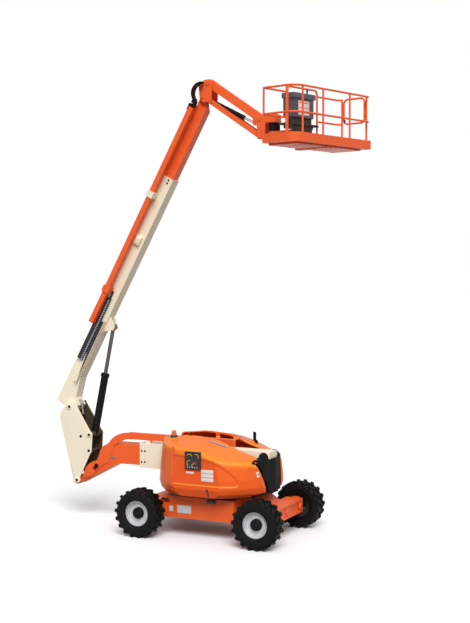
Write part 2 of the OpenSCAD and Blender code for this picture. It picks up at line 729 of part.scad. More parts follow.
// Cast tail block between the doors, hollowed for the tower boom's end.
module counterweight() {
    edge = hood_xz(curve(hood_front_shares));
    reach = weight_x1 + weight_cuts[0];
    color(dark) difference() {
        intersection() {
            translate([0, 0, deck_top]) linear_extrude(weight_z1 - deck_top) polygon(weight_x1 * two_sided(weight_shares));
            slab(concat([for (q = edge) q + [weight_gap, 0]], [[hood_x1 + weight_gap, deck_top], [weight_x1 - weight_cuts[0] / 2, deck_top],
                [reach, deck_top + weight_cuts[1]], [reach, weight_z1 + weight_cuts[2]], [edge[0][0] + weight_gap, weight_z1 + weight_cuts[2]]]),
                -weight_x1, weight_x1);
        }
        box([tower_x - tower_tail, -support_y - support_t - weight_gap, tower_base_z0 - weight_sill],
            [weight_pocket_x, support_y + support_t + weight_gap, weight_z1 + weight_cuts[2]]);
    }
}

module engine_block() {
    y1 = deck_hw - engine_inset;
    color(grey) box([engine_x0, y1 - engine_size[1], deck_top], [engine_x0 + engine_size[0], y1, deck_top + engine_size[2]]);
}

// Point at share t between points i and i + 1 of a smooth curve through p.
function between(p, i, t) = let (a = p[max(i - 1, 0)], b = p[i], c = p[i + 1], d = p[min(i + 2, len(p) - 1)])
    b + t * (c - a) / 2 + t * t * (2 * a - 5 * b + 4 * c - d) / 2 + t * t * t * (3 * b - a - 3 * c + d) / 2;
// Smooth curve through the points p.
function curve(p) = concat([for (i = [0 : len(p) - 2]) for (k = [0 : curve_steps - 1]) between(p, i, k / curve_steps)], [p[len(p) - 1]]);

function hood_xz(pts) = [for (q = pts) [hood_x0 + q[0] * hood_l, hood_z0 + q[1] * hood_h]];
// Far-side hood volume set in by a skin: its side outline, section, dome about the swing axis and rounded front shoulder.
module hood_form(skin) {
    top = hood_z1 + hood_t;
    intersection() {
        translate([-skin, 0, -skin]) slab(hood_xz(hood_side), hood_y0 - skin, hood_r);
        translate([-skin, hood_y0, hood_z1 - skin]) rotate([-hood_fall, 0, 0]) translate([0, -hood_y0, -hood_z1])
            slab(hood_xz(hood_top_shares), hood_y0 - hood_w, hood_r + hood_w);
        translate([hood_x0, 0, 0]) rotate([90, 0, 90]) linear_extrude(hood_l) polygon([[hood_y0 - skin, hood_z0 - skin],
            [hood_foot_y - skin, hood_z0 - skin], [hood_y1 - skin, hood_bulge_z], [hood_y1 - skin, top], [hood_y0 - skin, top]]);
        translate([0, 0, hood_z0 - skin]) rotate_extrude($fn = dome_steps) polygon(concat([[0, 0]],
            [for (q = hood_dome_shares) [q[0] * hood_r - skin, q[1] * hood_h]], [[0, hood_h]]));
        translate([hood_lean_at[0], 0, hood_lean_at[1]]) rotate([0, hood_lean, 0]) translate([0, 0, -skin]) rotate_extrude($fn = dome_steps)
            polygon(concat([[0, hood_lean_shares[len(hood_lean_shares) - 1][1] * hood_h], [0, 0]],
                [for (q = hood_lean_shares) [q[0] * hood_r - skin, q[1] * hood_h]]));
    }
}
// What the recessed side panel takes off the hood.
module panel_cut() {
    difference() {
        slab(hood_xz(concat(curve(panel_edge_shares), [[panel_edge_shares[0][0], panel_foot_share]])), hood_y0 + hood_w / 2, hood_r);
        hood_form(panel_depth);
    }
}

module hood_door() {
    difference() {
        intersection() {
            difference() {
                hood_form(0);
                hood_form(hood_t);
            }
            box([hood_seam + hood_gap, hood_y0, hood_z0], [hood_x1, hood_y1, hood_z1]);
        }
        panel_cut();
        intersection() {
            translate([0, 0, hood_z0 - hood_t]) linear_extrude(hood_h) polygon((weight_x1 + weight_gap * 2) * two_sided(weight_shares));
            box([weight_x0, 0, hood_z0 - hood_t], [hood_x1 + hood_t, hood_r, hood_z1]);
        }
        translate([0, 0, hinge_z]) for (x = hinge_xs) translate([0, hood_y0, 0]) along(knuckle_out_r + fit, x - hinge_t * 2, x + hinge_l + hinge_t);
    }
    for (x = hinge_xs) translate([0, hood_y0, hinge_z]) difference() {
        union() {
            along(knuckle_out_r, x + hood_gap, x + hinge_l - hood_gap);
            intersection() {
                translate([0, -hood_y0, -hinge_z]) hood_form(0);
                box([x + hood_gap, 0, -hinge_r], [x + hinge_l - hood_gap, hood_w * door_arm_share, hood_h]);
            }
        }
        along(hinge_r + fit, x - hinge_t, x + hinge_l * 2);
    }
}
door_arm_share = 0.08;
module hood_far() {
    color(orange) union() {
        hood_door();
        translate([exhaust_at[0], exhaust_at[1], exhaust_z[0] - exhaust_r * 2]) cylinder(r = exhaust_r * 2, h = exhaust_r * 2);
    }
}
module hood_near() {
    color(orange) difference() {
        mirror([0, 1, 0]) hood_door();
        control_box();
    }
}

module corner() {
    color(orange) union() {
        intersection() {
            difference() {
                hood_form(0);
                hood_form(hood_t);
            }
            box([hood_x0, hood_y0, hood_z0], [hood_seam - hood_gap, hood_y1, hood_z1]);
        }
        intersection() {
            hood_form(hood_t / 2);
            box([hood_x0, hood_y0, deck_top], [hood_seam - hood_gap, hood_y1, deck_top + hood_t]);
        }
    }
}
module corner_far() { corner(); }
module corner_near() {
    color(orange) union() {
        mirror([0, 1, 0]) corner();
        translate([beacon_at[0], beacon_at[1], beacon_z - beacon_seat]) cylinder(r = beacon_base[0], h = beacon_seat);
    }
}

// Box of the ground control panel, seated in the hood at the recessed panel's depth.
module control_box() {
    box([panel_lo[0], -hood_y1 + panel_depth - panel_size[1], panel_lo[1]],
        [panel_lo[0] + panel_size[0], -hood_y1 + panel_depth, panel_lo[1] + panel_size[2]]);
}
module control_panel() { color(black) control_box(); }

module beacon() {
    color([0.95, 0.55, 0.08]) translate([beacon_at[0], beacon_at[1], beacon_z]) {
        cylinder(r = beacon_base[0], h = beacon_base[1]);
        translate([0, 0, beacon_base[1]]) cylinder(r = beacon_dome[0], h = beacon_dome[1]);
    }
}

module exhaust() {
    rise = exhaust_z[1] - exhaust_z[0];
    color(black) translate([exhaust_at[0], exhaust_at[1], exhaust_z[0]]) difference() {
        cylinder(r = exhaust_r, h = rise);
        translate([0, 0, exhaust_r]) cylinder(r = exhaust_r - exhaust_wall, h = rise);
        translate([-exhaust_r, 0, rise]) rotate([0, exhaust_slope, 0]) box([-rise, -rise, 0], [rise, rise, rise]);
    }
}

module tower_base() {
    color(cream) difference() {
        union() {
            difference() {
                box([tower_base_x0, -tower_base_hw, tower_base_z0], [tower_x + tower_tail, tower_base_hw, tower_base_z1]);
                box([tower_base_x0 - pad_l, tower_wall - tower_base_hw, tower_base_z0 + tower_wall],
                    [tower_x - tower_tail * 2, tower_base_hw - tower_wall, tower_base_z1 - tower_wall]);
            }
            box([tower_base_x0, -tower_fly_hw, tower_fly_z1 + fit], [tower_base_x0 + pad_l, tower_fly_hw, tower_base_z1 - tower_wall]);
            box([tower_base_x0, -tower_fly_hw, tower_base_z0 + tower_wall], [tower_base_x0 + pad_l, tower_fly_hw, tower_fly_z0 - fit]);
            both() box([tower_base_x0, tower_fly_hw + fit, tower_fly_z0 + pad_l / 2], [tower_base_x0 + pad_l, tower_base_hw - tower_wall, tower_fly_z1 - pad_l / 2]);
            cross([tower_x, tower_z], tower_tail - tower_wall, fit - support_y, support_y - fit);
            both() slab([[tower_cyl_eye[0] - saddle_l, tower_base_z0], [tower_cyl_eye[0] - pin_r, tower_cyl_eye[1] - pin_r],
                [tower_cyl_eye[0] + pin_r, tower_cyl_eye[1] - pin_r], [tower_cyl_eye[0] + saddle_l, tower_base_z0]],
                eye_hw + tower_wall, eye_hw + tower_wall + lug_t);
            for (x = saddle_xs) box([x, tower_tube_y - tower_tube_hw, tower_base_z1], [x + saddle_l, tower_tube_y + tower_tube_hw, tower_tube_z[0] - fit]);
        }
        cross([tower_x, tower_z], tower_pin_r + fit, -support_y - pad_l, support_y + pad_l);
    }
}

function neck_xz(pts) = [for (q = pts) [low_pin[0] + q[0] * (tower_tube_x[0] - low_pin[0]), low_pin[1] + q[1] * (tower_tube_z[1] - low_pin[1])]];

module tower_fly() {
    front = neck_xz(curve(neck_front_shares));
    back = neck_xz(curve(neck_back_shares));
    hole = neck_xz([nose_hole_shares])[0];
    under = [low_pin[0] + nose_r * nose_shares[0], low_pin[1] - nose_r * nose_shares[1]];
    color(orange) difference() {
        union() {
            difference() {
                box([tower_fly_x0, -tower_fly_hw, tower_fly_z0], [tower_fly_x1, tower_fly_hw, tower_fly_z1]);
                box([tower_fly_x0 + pad_l, tower_wall - tower_fly_hw, tower_fly_z0 + tower_wall],
                    [tower_fly_x1 + pad_l, tower_fly_hw - tower_wall, tower_fly_z1 - tower_wall]);
            }
            box([tower_fly_x1 - pad_l, -tower_fly_hw, tower_fly_z1], [tower_fly_x1, tower_fly_hw, tower_base_z1 - tower_wall - fit]);
            box([tower_fly_x1 - pad_l, -tower_fly_hw, tower_base_z0 + tower_wall + fit], [tower_fly_x1, tower_fly_hw, tower_fly_z0]);
            slab(concat([under], [for (i = [0 : neck_nose_count]) front[i]],
                [[tower_fly_x0, tower_fly_z1], [nose_under_x, tower_fly_z1], [nose_under_x, tower_fly_z0]]), -nose_hw, nose_hw);
            cross(low_pin, nose_r, fit - upright_y, upright_y - fit);
            slab(concat(front, [[tower_tube_x[0] + nose_r, tower_tube_z[1]], [tower_tube_x[0] + nose_r, tower_tube_z[0]]], back),
                -nose_hw - gooseneck_t, -tower_fly_hw);
            box([tower_tube_x[0], tower_tube_y - tower_tube_hw, tower_tube_z[0]], [tower_tube_x[1], tower_tube_y + tower_tube_hw, tower_tube_z[1]]);
        }
        cross(low_pin, pin_r + fit, -upright_y, upright_y);
        cross(hole, nose_hole_r, -upright_y, upright_y);
    }
}
nose_shares = [0.5, 0.86];

// Cylinder barrel from base pin p towards q: eye, tube with a rod bore.
module barrel(p, q, l, r, rod_r, pr) {
    color(black) difference() {
        union() {
            aim(p, q) along(r, min(r * neck_share, pin_head_r + neck_gap), l);
            cross(p, r, -eye_hw, eye_hw);
        }
        cross(p, pr + fit, -eye_hw * 2, eye_hw * 2);
        aim(p, q) along(rod_r + fit, r * 2, l + r);
    }
}
neck_share = 0.86;
// Cylinder rod that ends in an eye with its own short pin at q.
module piston(p, q, inside, rod_r, er, pr, half) {
    len_pq = norm(q - p);
    color(steel) union() {
        aim(p, q) along(rod_r, len_pq - inside, len_pq);
        cross(q, er, -eye_hw, eye_hw);
        cross(q, pr, -half, half);
    }
}

module tower_barrel() { barrel(tower_cyl_base, tower_cyl_eye, tower_barrel_l, tower_barrel_r, tower_rod_r, pin_r); }
module tower_rod() { piston(tower_cyl_base, tower_cyl_eye, tower_rod_share * tower_barrel_l, tower_rod_r, pin_r, small_pin_r, eye_hw + tower_wall - fit); }
tower_rod_share = 0.95;
module lift_barrel() { barrel(lift_pin, lift_eye_w, lift_barrel_l, lift_barrel_r, lift_rod_r, pin_r); }
module lift_rod() { piston(lift_pin, lift_eye_w, lift_rod_share * lift_barrel_l, lift_rod_r, pin_head_r, small_pin_r, eye_hw + tower_wall - fit); }
lift_rod_share = 1.02;
module master_barrel() { barrel(master_pin, master_eye_w, master_barrel[0], master_barrel[1], master_rod_r, small_pin_r); }
module master_rod() { piston(master_pin, master_eye_w, master_rod_share * master_barrel[0], master_rod_r, master_barrel[1], small_pin_r / 2, eye_hw + tower_wall - fit); }
master_rod_share = 0.80;
module jib_barrel() { barrel(jib_low, jib_eye_w, jib_barrel_l, jib_barrel_r, jib_rod_r, small_pin_r); }
module jib_rod() { piston(jib_low, jib_eye_w, jib_rod_share * jib_barrel_l, jib_rod_r, jib_barrel_r * jib_eye_share, small_pin_r / 2, jib_hw - jib_wall - fit); }
jib_rod_share = 1.05;
jib_eye_share = 0.9;

module upright() {
    color(cream) union() {
        both() union() {
            slab([[main_pin[0] - upright_top_r * upright_shares[0], main_pin[1] - upright_top_r * upright_shares[1]],
                [main_pin[0] - upright_top_r * upright_shares[2], main_pin[1] - upright_top_r * upright_shares[3]],
                [low_pin[0] - upright_low_r, low_pin[1]], [low_pin[0] + upright_low_r * upright_shares[4], low_pin[1] - upright_low_r * upright_shares[5]],
                [link_pin[0] + upright_side_r, link_pin[1]], [lift_pin[0] + upright_side_r, lift_pin[1]],
                [main_pin[0] + upright_top_r * upright_shares[5], main_pin[1] + upright_top_r * upright_shares[6]],
                [main_pin[0], main_pin[1] + upright_top_r * upright_shares[6]]],
                upright_y, upright_y + upright_t);
            cross(low_pin, upright_low_r, upright_y, upright_y + upright_t);
            cross(link_pin, upright_side_r, upright_y, upright_y + upright_t);
            cross(lift_pin, upright_side_r, upright_y, upright_y + upright_t);
            for (p = [low_pin, main_pin, lift_pin]) cross(p, pin_head_r, upright_y + upright_t, upright_y + upright_t + pin_head_t);
        }
        for (p = [low_pin, main_pin, lift_pin]) cross(p, pin_r, -upright_y, upright_y);
        for (p = [link_pin, master_pin]) cross(p, small_pin_r, -upright_y, upright_y);
        both() cross(master_pin, pin_head_r, eye_hw + fit, upright_y);
        both() cross(lift_pin, pin_head_r, eye_hw + fit, upright_y);
        slab([[web_x(web_z0), web_z0], [web_x(web_z0) + web_t, web_z0], [web_x(web_z1) + web_t, web_z1], [web_x(web_z1), web_z1]], -upright_y, upright_y);
    }
}
upright_shares = [1.40, 0.70, 1.53, 1.66, 0.1, 0.85, 0.62];
function web_x(z) = low_pin[0] - upright_low_r + (z - low_pin[1]) *
    (main_pin[0] - upright_top_r * upright_shares[2] - low_pin[0] + upright_low_r) /
    (main_pin[1] - upright_top_r * upright_shares[3] - low_pin[1]);

module main_base() {
    color(cream) difference() {
        union() on_boom() {
            difference() {
                box([boom_tail, -boom_hw, boom_v0], [boom_u1, boom_hw, boom_v1]);
                box([boom_plate_l, boom_wall - boom_hw, boom_v0 + boom_wall], [boom_u1 + pad_l, boom_hw - boom_wall, boom_v1 - boom_wall]);
            }
            slab([[-boom_tail, 0], [-boom_tail * tail_shares[0], boom_v1], [boom_plate_l, boom_v1], [boom_plate_l, boom_v0],
                [boom_tail * 2, 0], [boom_tail, -boom_tail * tail_shares[1]], [0, -boom_tail]], -boom_hw, boom_hw);
            cross([0, 0], boom_tail, fit - upright_y, upright_y - fit);
            box([boom_u1 - pad_l, -boom_fly_hw, boom_mid + boom_fly_hv + fit], [boom_u1, boom_fly_hw, boom_v1 - boom_wall]);
            box([boom_u1 - pad_l, -boom_fly_hw, boom_v0 + boom_wall], [boom_u1, boom_fly_hw, boom_mid - boom_fly_hv - fit]);
            both() box([boom_u1 - pad_l, boom_fly_hw + fit, boom_v0 + pad_l / 2], [boom_u1, boom_hw - boom_wall, boom_v1 - pad_l / 2]);
            both() slab([[lift_eye[0] - saddle_l * 2, boom_v0], [lift_eye[0] - pin_r, lift_eye[1] - pin_head_r], [lift_eye[0] + pin_r, lift_eye[1] - pin_head_r],
                [lift_eye[0] + saddle_l * 2, boom_v0]], eye_hw + tower_wall, eye_hw + tower_wall + lug_t);
            for (u = boom_saddle_us) {
                box([u, boom_tube_y - boom_tube_hw - lug_t, boom_tube_v[0] - lug_t], [u + boom_saddle_l, -boom_hw, boom_tube_v[0] - fit]);
                box([u, boom_tube_y - boom_tube_hw - lug_t, boom_tube_v[0] - lug_t], [u + boom_saddle_l, boom_tube_y - boom_tube_hw - fit, boom_tube_v[1] + lug_t]);
                box([u, boom_tube_y - boom_tube_hw - lug_t, boom_tube_v[1] + fit], [u + boom_saddle_l, boom_tube_y + boom_tube_hw + lug_t, boom_tube_v[1] + lug_t]);
            }
            box([chain_u[0] - pin_r, -boom_hw - chain_w, boom_v0 + tray_t], [chain_u[1] + pin_r, -boom_hw, boom_v0 + tray_t * 2]);
        }
        cross(main_pin, pin_r + fit, -upright_y, upright_y);
        on_boom() box([lift_eye[0] - saddle_l * eye_room_share, -eye_hw - tower_wall, boom_v0 - boom_wall],
            [lift_eye[0] + saddle_l * eye_room_share, eye_hw + tower_wall, boom_v0 + boom_wall]);
        on_boom() slab([[-boom_tail, -boom_tail * 2], [-boom_tail, -boom_tail * tail_shares[2]], [boom_tail * 3, -boom_tail * tail_shares[2]], [boom_tail * 3, -boom_tail * 2]],
            -eye_hw - tower_wall, eye_hw + tower_wall);
    }
}
tail_shares = [0.6, 1.35, 0.42];
eye_room_share = 1.3;

module hose_carrier() {
    pitch = (chain_u[1] - chain_u[0]) / chain_count;
    color(black) on_boom() union() {
        box([chain_u[0], -boom_hw - chain_w + tray_t, boom_v0 + tray_t * 2], [chain_u[1], -boom_hw - tray_t, boom_v0 + tray_t * 2 + chain_h / 2 - tray_t]);
        for (i = [0 : chain_count - 1]) box([chain_u[0] + (i + chain_share) * pitch, -boom_hw - chain_w + tray_t, boom_v0 + tray_t * 2],
            [chain_u[0] + (i + 1 - chain_share) * pitch, -boom_hw - tray_t, boom_v0 + tray_t * 2 + chain_h / 2]);
    }
}
chain_share = 0.12;

module main_fly() {
    color(orange) difference() {
        union() on_boom() {
            difference() {
                box([boom_fly_u0, -boom_fly_hw, boom_mid - boom_fly_hv], [boom_fly_u1, boom_fly_hw, boom_mid + boom_fly_hv]);
                box([boom_fly_u0 - pad_l, boom_fly_wall - boom_fly_hw, boom_mid - boom_fly_hv + boom_fly_wall],
                    [boom_fly_u1 - pad_l, boom_fly_hw - boom_fly_wall, boom_mid + boom_fly_hv - boom_fly_wall]);
            }
            box([boom_fly_u0, -boom_fly_hw, boom_mid + boom_fly_hv], [boom_fly_u0 + pad_l, boom_fly_hw, boom_v1 - boom_wall - fit]);
            box([boom_fly_u0, -boom_fly_hw, boom_v0 + boom_wall + fit], [boom_fly_u0 + pad_l, boom_fly_hw, boom_mid - boom_fly_hv]);
            slab([[boom_fly_u1, boom_mid - boom_fly_hv], [head_u, head_v - head_r], [head_u, head_v + head_r], [boom_fly_u1, boom_mid + boom_fly_hv]], -head_hw, head_hw);
            cross([head_u, head_v], head_r, -cheek_y + fit, cheek_y - fit);
            translate([0, boom_tube_y, 0]) box([boom_tube_u[0], -boom_tube_hw, boom_tube_v[0]], [boom_tube_u[1], boom_tube_hw, boom_tube_v[1]]);
            box([boom_tube_u[1] - saddle_l * 2, boom_tube_y, boom_tube_v[0]], [boom_tube_u[1] - saddle_l, -boom_fly_hw, boom_mid + boom_fly_hv]);
        }
        cross(head_pin, small_pin_r + fit, -cheek_y * 2, cheek_y * 2);
    }
}

module jib_head() {
    color(orange) union() {
        both() slab([for (p = jib_head_pts) jib_pin + p], cheek_y, cheek_y + cheek_t);
        for (p = [head_pin, jib_pin, jib_low]) {
            cross(p, small_pin_r, -cheek_y, cheek_y);
            both() cross(p, pin_r, cheek_y + cheek_t, cheek_y + cheek_t + pin_head_t);
        }
    }
}

// Bar outline with a round end and a pin hole at 0 and at len_x.
module bar_outline(len_x, half) {
    difference() {
        union() {
            translate([0, -half]) square([len_x, half * 2]);
            circle(r = half * boss_share);
            translate([len_x, 0]) circle(r = half * boss_share);
            children();
        }
        circle(r = small_pin_r + fit);
        translate([len_x, 0]) circle(r = small_pin_r + fit);
    }
}
boss_share = 1.06;
// Children's flat outline stood up in the XZ plane, thick from y0 to y1.
module stand(y0, y1) { translate([0, y1, 0]) rotate([90, 0, 0]) linear_extrude(y1 - y0) children(); }
// Ring around a pin, from y0 to y1.
module ring(p, r, y0, y1) {
    translate([p[0], y1, p[1]]) rotate([90, 0, 0]) linear_extrude(y1 - y0) difference() {
        circle(r = r);
        circle(r = small_pin_r + fit);
    }
}

module jib_boom() {
    inner = jib_hw - jib_wall;
    color(orange) on_jib(jib_pin) union() {
        both() {
            stand(inner, jib_hw) bar_outline(jib_l, jib_hd) polygon([[jib_eye[0] - saddle_l, -jib_hd + jib_wall],
                [jib_eye[0] - small_pin_r, jib_eye[1] - small_pin_r], [jib_eye[0] + small_pin_r, jib_eye[1] - small_pin_r],
                [jib_l, -jib_hd + jib_wall]]);
            ring([0, 0], pin_r, jib_hw, cheek_y - fit);
            ring([jib_l, 0], pin_r, jib_hw, cheek_y - fit);
        }
        box([0, -inner, jib_hd - jib_wall], [jib_l, inner, jib_hd]);
    }
}

module jib_links() {
    color(orange) on_jib(jib_low) both() union() {
        stand(link_y[0], link_y[1]) bar_outline(jib_l, link_hd);
        ring([0, 0], pin_r, link_y[1], cheek_y - fit);
        ring([jib_l, 0], pin_r, link_y[1], cheek_y - fit);
    }
}

module jib_bracket() {
    color(orange) union() {
        both() slab([[jib_far[0] - jib_hd, jib_far[1] + jib_hd], [jib_far_low[0] - link_hd, jib_far_low[1] - link_hd],
            [jib_far_low[0] + link_hd * 2, jib_far_low[1] - link_hd], [turn_x - actuator_r - cheek_t, actuator_z[0]],
            [turn_x - actuator_r - cheek_t, actuator_z[1]], [turn_x + jib_hd, actuator_z[1]], [turn_x + jib_hd, bracket_z1]], cheek_y, cheek_y + cheek_t);
        box([turn_x - actuator_r - cheek_t, -cheek_y, actuator_z[1]], [turn_x + jib_hd, cheek_y, bracket_z1]);
        for (p = [jib_far, jib_far_low]) {
            cross(p, small_pin_r, -cheek_y, cheek_y);
            both() cross(p, pin_r, cheek_y + cheek_t, cheek_y + cheek_t + pin_head_t);
        }
    }
}

module turn_actuator() {
    color(black) translate([turn_x, 0, actuator_z[0]]) cylinder(r = actuator_r, h = actuator_z[1] - actuator_z[0]);
}

module platform_mount() {
    top = actuator_z[0] - fit;
    color(orange) on_platform() union() {
        cylinder_at(actuator_r, top - arm_h, top);
        slab([[0, top - arm_h], [0, top], [platform_back - arm_h, top], [platform_back, top - arm_h], [platform_back, platform_z],
            [platform_back + arm_reach, platform_z], [platform_back + arm_reach, platform_z - arm_drop], [platform_back - arm_h, platform_z - arm_drop],
            [platform_back - arm_h, top - arm_h * 2], [platform_back - arm_h * 2, top - arm_h]], -arm_hw, arm_hw);
    }
}
module cylinder_at(r, z0, z1) { translate([0, 0, z0]) cylinder(r = r, h = z1 - z0); }

module platform_floor() {
    x0 = platform_back;
    x1 = platform_back + platform_w;
    y1 = platform_l / 2;
    color(orange) on_platform() {
        for (q = rib_shares) box([x0, (q - half_share) * platform_l - rib_hw, platform_z - rib_h],
            [x1 - corner_r / 2, (q - half_share) * platform_l + rib_hw, platform_z]);
        floor_pan(x0, x1, y1);
    }
}
half_share = 0.5;
// Floor plate with its upstanding toe boards.
module floor_pan(x0, x1, y1) {
    translate([0, 0, platform_z]) difference() {
        linear_extrude(toe_h) difference() {
            square_at([x0, -y1], [x1, y1]);
            difference() {
                square_at([x1 - corner_r, -y1 - corner_r], [x1 + corner_r, -y1 + corner_r]);
                translate([x1 - corner_r, -y1 + corner_r]) circle(r = corner_r);
                square_at([x1 - corner_r * 2, -y1], [x1 - corner_r, y1]);
                square_at([x0, -y1 + corner_r], [x1, y1]);
            }
        }
        translate([0, 0, floor_t]) linear_extrude(toe_h) difference() {
            square_at([x0 + toe_t, toe_t - y1], [x1 - toe_t, y1 - toe_t]);
            difference() {
                square_at([x1 - corner_r, -y1 - corner_r], [x1 + corner_r, -y1 + corner_r]);
                translate([x1 - corner_r, -y1 + corner_r]) circle(r = corner_r - toe_t);
                square_at([x1 - corner_r * 2, -y1], [x1 - corner_r, y1]);
                square_at([x0, -y1 + corner_r], [x1, y1]);
            }
        }
    }
}
module square_at(a, b) { translate(a) square(b - a); }

// Straight rail between two points.
module rail(a, b) {
    d = b - a;
    translate(a) rotate([0, 0, atan2(d[1], d[0])]) rotate([0, atan2(norm([d[0], d[1]]), d[2]), 0]) cylinder(r = rail_r, h = norm(d), $fn = 24);
}
// Ball where rails meet.
module joint_ball(a) { translate(a) sphere(r = rail_r, $fn = 24); }

// Quarter bend of a rail around the Z axis, its centre at c, from angle a.
module bend(c, r, a) { translate(c) rotate([0, 0, a]) rotate_extrude(angle = 90, $fn = 48) translate([r, 0]) circle(r = rail_r, $fn = 24); }
// Quarter bend of a rail in a plane of constant y, from angle a above +X.
module bend_up(c, r, a) { translate(c) rotate([90, 0, 0]) rotate([0, 0, a]) rotate_extrude(angle = 90, $fn = 48) translate([r, 0]) circle(r = rail_r, $fn = 24); }

module platform_rails() {
    x0 = platform_back + rail_r;
    x1 = platform_back + platform_w - rail_r;
    y1 = platform_l / 2 - rail_r;
    zb = platform_z + toe_h;
    zm = platform_z + mid_h;
    zt = platform_z + rail_h - rail_r;
    za = zt + arch_rise;
    cr = corner_r - rail_r;
    gx0 = x0 + gate_shares[0] * (x1 - x0);
    gx1 = x0 + gate_shares[1] * (x1 - x0);
    rb = gx0 - x0;
    rf = x1 - gx1;
    color(orange) on_platform() union() {
        for (z = [zm, zt]) {
            rail([x0, y1 - rb, z], [x0, console_gap, z]);
            rail([x0, -console_gap, z], [x0, -y1, z]);
            rail([x0, -y1, z], [x1 - cr, -y1, z]);
            rail([x1, -y1 + cr, z], [x1, y1 - rf, z]);
            bend([x1 - cr, -y1 + cr, z], cr, -90);
            bend([gx0, y1 - rb, z], rb, 90);
            bend([gx1, y1 - rf, z], rf, 0);
            joint_ball([x0, -y1, z]);
        }
        for (p = [[x0, -y1], [x1 - cr, -y1], [x1, -y1 + cr], [gx0, y1], [gx1, y1]]) rail([p[0], p[1], zb], [p[0], p[1], zt]);
        for (p = [[gx0, y1], [gx1, y1]]) joint_ball([p[0], p[1], zt]);
        for (q = front_post_shares) rail([x1, (2 * q - 1) * y1, zb], [x1, (2 * q - 1) * y1, zt]);
        translate([x0, 0, 0]) rotate([0, 0, 90]) {
            for (side = [-1, 1]) rail([side * console_gap, 0, zb], [side * console_gap, 0, za - bend_r]);
            rail([bend_r - console_gap, 0, za], [console_gap - bend_r, 0, za]);
            bend_up([console_gap - bend_r, 0, za - bend_r], bend_r, 0);
            bend_up([bend_r - console_gap, 0, za - bend_r], bend_r, 90);
        }
    }
}

module gate() {
    x0 = platform_back + rail_r;
    x1 = platform_back + platform_w - rail_r;
    y1 = platform_l / 2 - rail_r;
    gx0 = x0 + gate_shares[0] * (x1 - x0) + rail_r * 2 + gate_gap;
    gx1 = x0 + gate_shares[1] * (x1 - x0) - rail_r * 2 - gate_gap;
    z0 = platform_z + mid_h;
    z1 = platform_z + rail_h - rail_r;
    color(orange) on_platform() difference() {
        union() translate([0, y1, 0]) {
            for (x = [gx0, gx1]) rail([x, 0, z0 + bend_r], [x, 0, z1 - bend_r]);
            for (z = [z0, z1]) rail([gx0 + bend_r, 0, z], [gx1 - bend_r, 0, z]);
            bend_up([gx1 - bend_r, 0, z1 - bend_r], bend_r, 0);
            bend_up([gx0 + bend_r, 0, z1 - bend_r], bend_r, 90);
            bend_up([gx0 + bend_r, 0, z0 + bend_r], bend_r, 180);
            bend_up([gx1 - bend_r, 0, z0 + bend_r], bend_r, 270);
            for (q = gate_hinge_shares) box([gx1, -rail_r, z0 + q * (z1 - z0)], [gx1 + rail_r * 2 + gate_gap, rail_r, z0 + q * (z1 - z0) + rail_r * 2]);
        }
        translate([gx1 + rail_r * 2 + gate_gap, y1, 0]) cylinder_at(rail_r + fit, platform_z, platform_z + rail_h);
    }
}
gate_gap = 6;
gate_hinge_shares = [0.25, 0.67];

module console() {
    z0 = actuator_z[0] - fit;
    color(grey) on_platform() union() {
        for (i = [0 : len(console_hws) - 1]) box([platform_back - console_backs[i], -console_hws[i], z0 + console_zs[i]],
            [platform_back + console_fronts[i], console_hws[i], z0 + console_zs[i + 1]]);
        box([platform_back, -console_hws[2], platform_z + toe_h], [platform_back + console_fronts[0], console_hws[2], z0 + console_zs[1]]);
        translate([platform_back - stick_at[0], stick_at[1], z0 + console_zs[5]]) {
            cylinder(r = stick_size[0], h = stick_size[1]);
            translate([0, 0, stick_size[1]]) sphere(r = knob_r);
        }
    }
}

chassis_frame();
front_axle();
rear_axle();
swing_ring();
knuckle_near();
knuckle_far();
tyre_front_near();
tyre_front_far();
tyre_rear_near();
tyre_rear_far();
rim_front_near();
rim_front_far();
rim_rear_near();
rim_rear_far();
turntable_frame();
counterweight();
corner_near();
corner_far();
engine_block();
beacon();
hood_near();
hood_far();
control_panel();
exhaust();
tower_base();
tower_fly();
tower_barrel();
tower_rod();
upright();
main_base();
hose_carrier();
main_fly();
lift_barrel();
lift_rod();
master_barrel();
master_rod();
jib_head();
jib_boom();
jib_links();
jib_barrel();
jib_rod();
jib_bracket();
turn_actuator();
platform_mount();
platform_floor();
platform_rails();
console();
gate();
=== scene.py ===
from math import cos, pi, radians, sin

import bmesh
import bpy
from mathutils import Matrix, Vector


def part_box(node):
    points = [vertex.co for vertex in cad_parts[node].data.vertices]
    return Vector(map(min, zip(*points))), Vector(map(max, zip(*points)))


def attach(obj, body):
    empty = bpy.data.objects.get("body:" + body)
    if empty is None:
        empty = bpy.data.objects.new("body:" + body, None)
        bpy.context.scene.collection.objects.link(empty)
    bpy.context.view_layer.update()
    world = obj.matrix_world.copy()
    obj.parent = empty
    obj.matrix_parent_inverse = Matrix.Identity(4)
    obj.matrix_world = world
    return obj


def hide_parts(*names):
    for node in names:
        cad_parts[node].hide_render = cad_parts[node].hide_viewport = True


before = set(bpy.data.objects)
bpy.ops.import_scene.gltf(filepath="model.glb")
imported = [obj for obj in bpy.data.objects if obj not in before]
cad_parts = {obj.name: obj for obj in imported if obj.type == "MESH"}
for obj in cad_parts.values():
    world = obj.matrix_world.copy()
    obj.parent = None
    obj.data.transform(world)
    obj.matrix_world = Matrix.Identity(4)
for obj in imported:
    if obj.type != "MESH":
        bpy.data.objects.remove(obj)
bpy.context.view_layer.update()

# Camera: a long lens some 23 m off, about half way up the raised boom.
# It looks at the near side of the lift from the counterweight end.
FRAME_HEIGHT, FOCAL_PIXELS = 623, 1183
CAMERA_AT, CAMERA_DIP, CAMERA_TURN = (9.93, -20.61, 5.23), 2.357, 25.07
lens = bpy.data.cameras.new("camera")
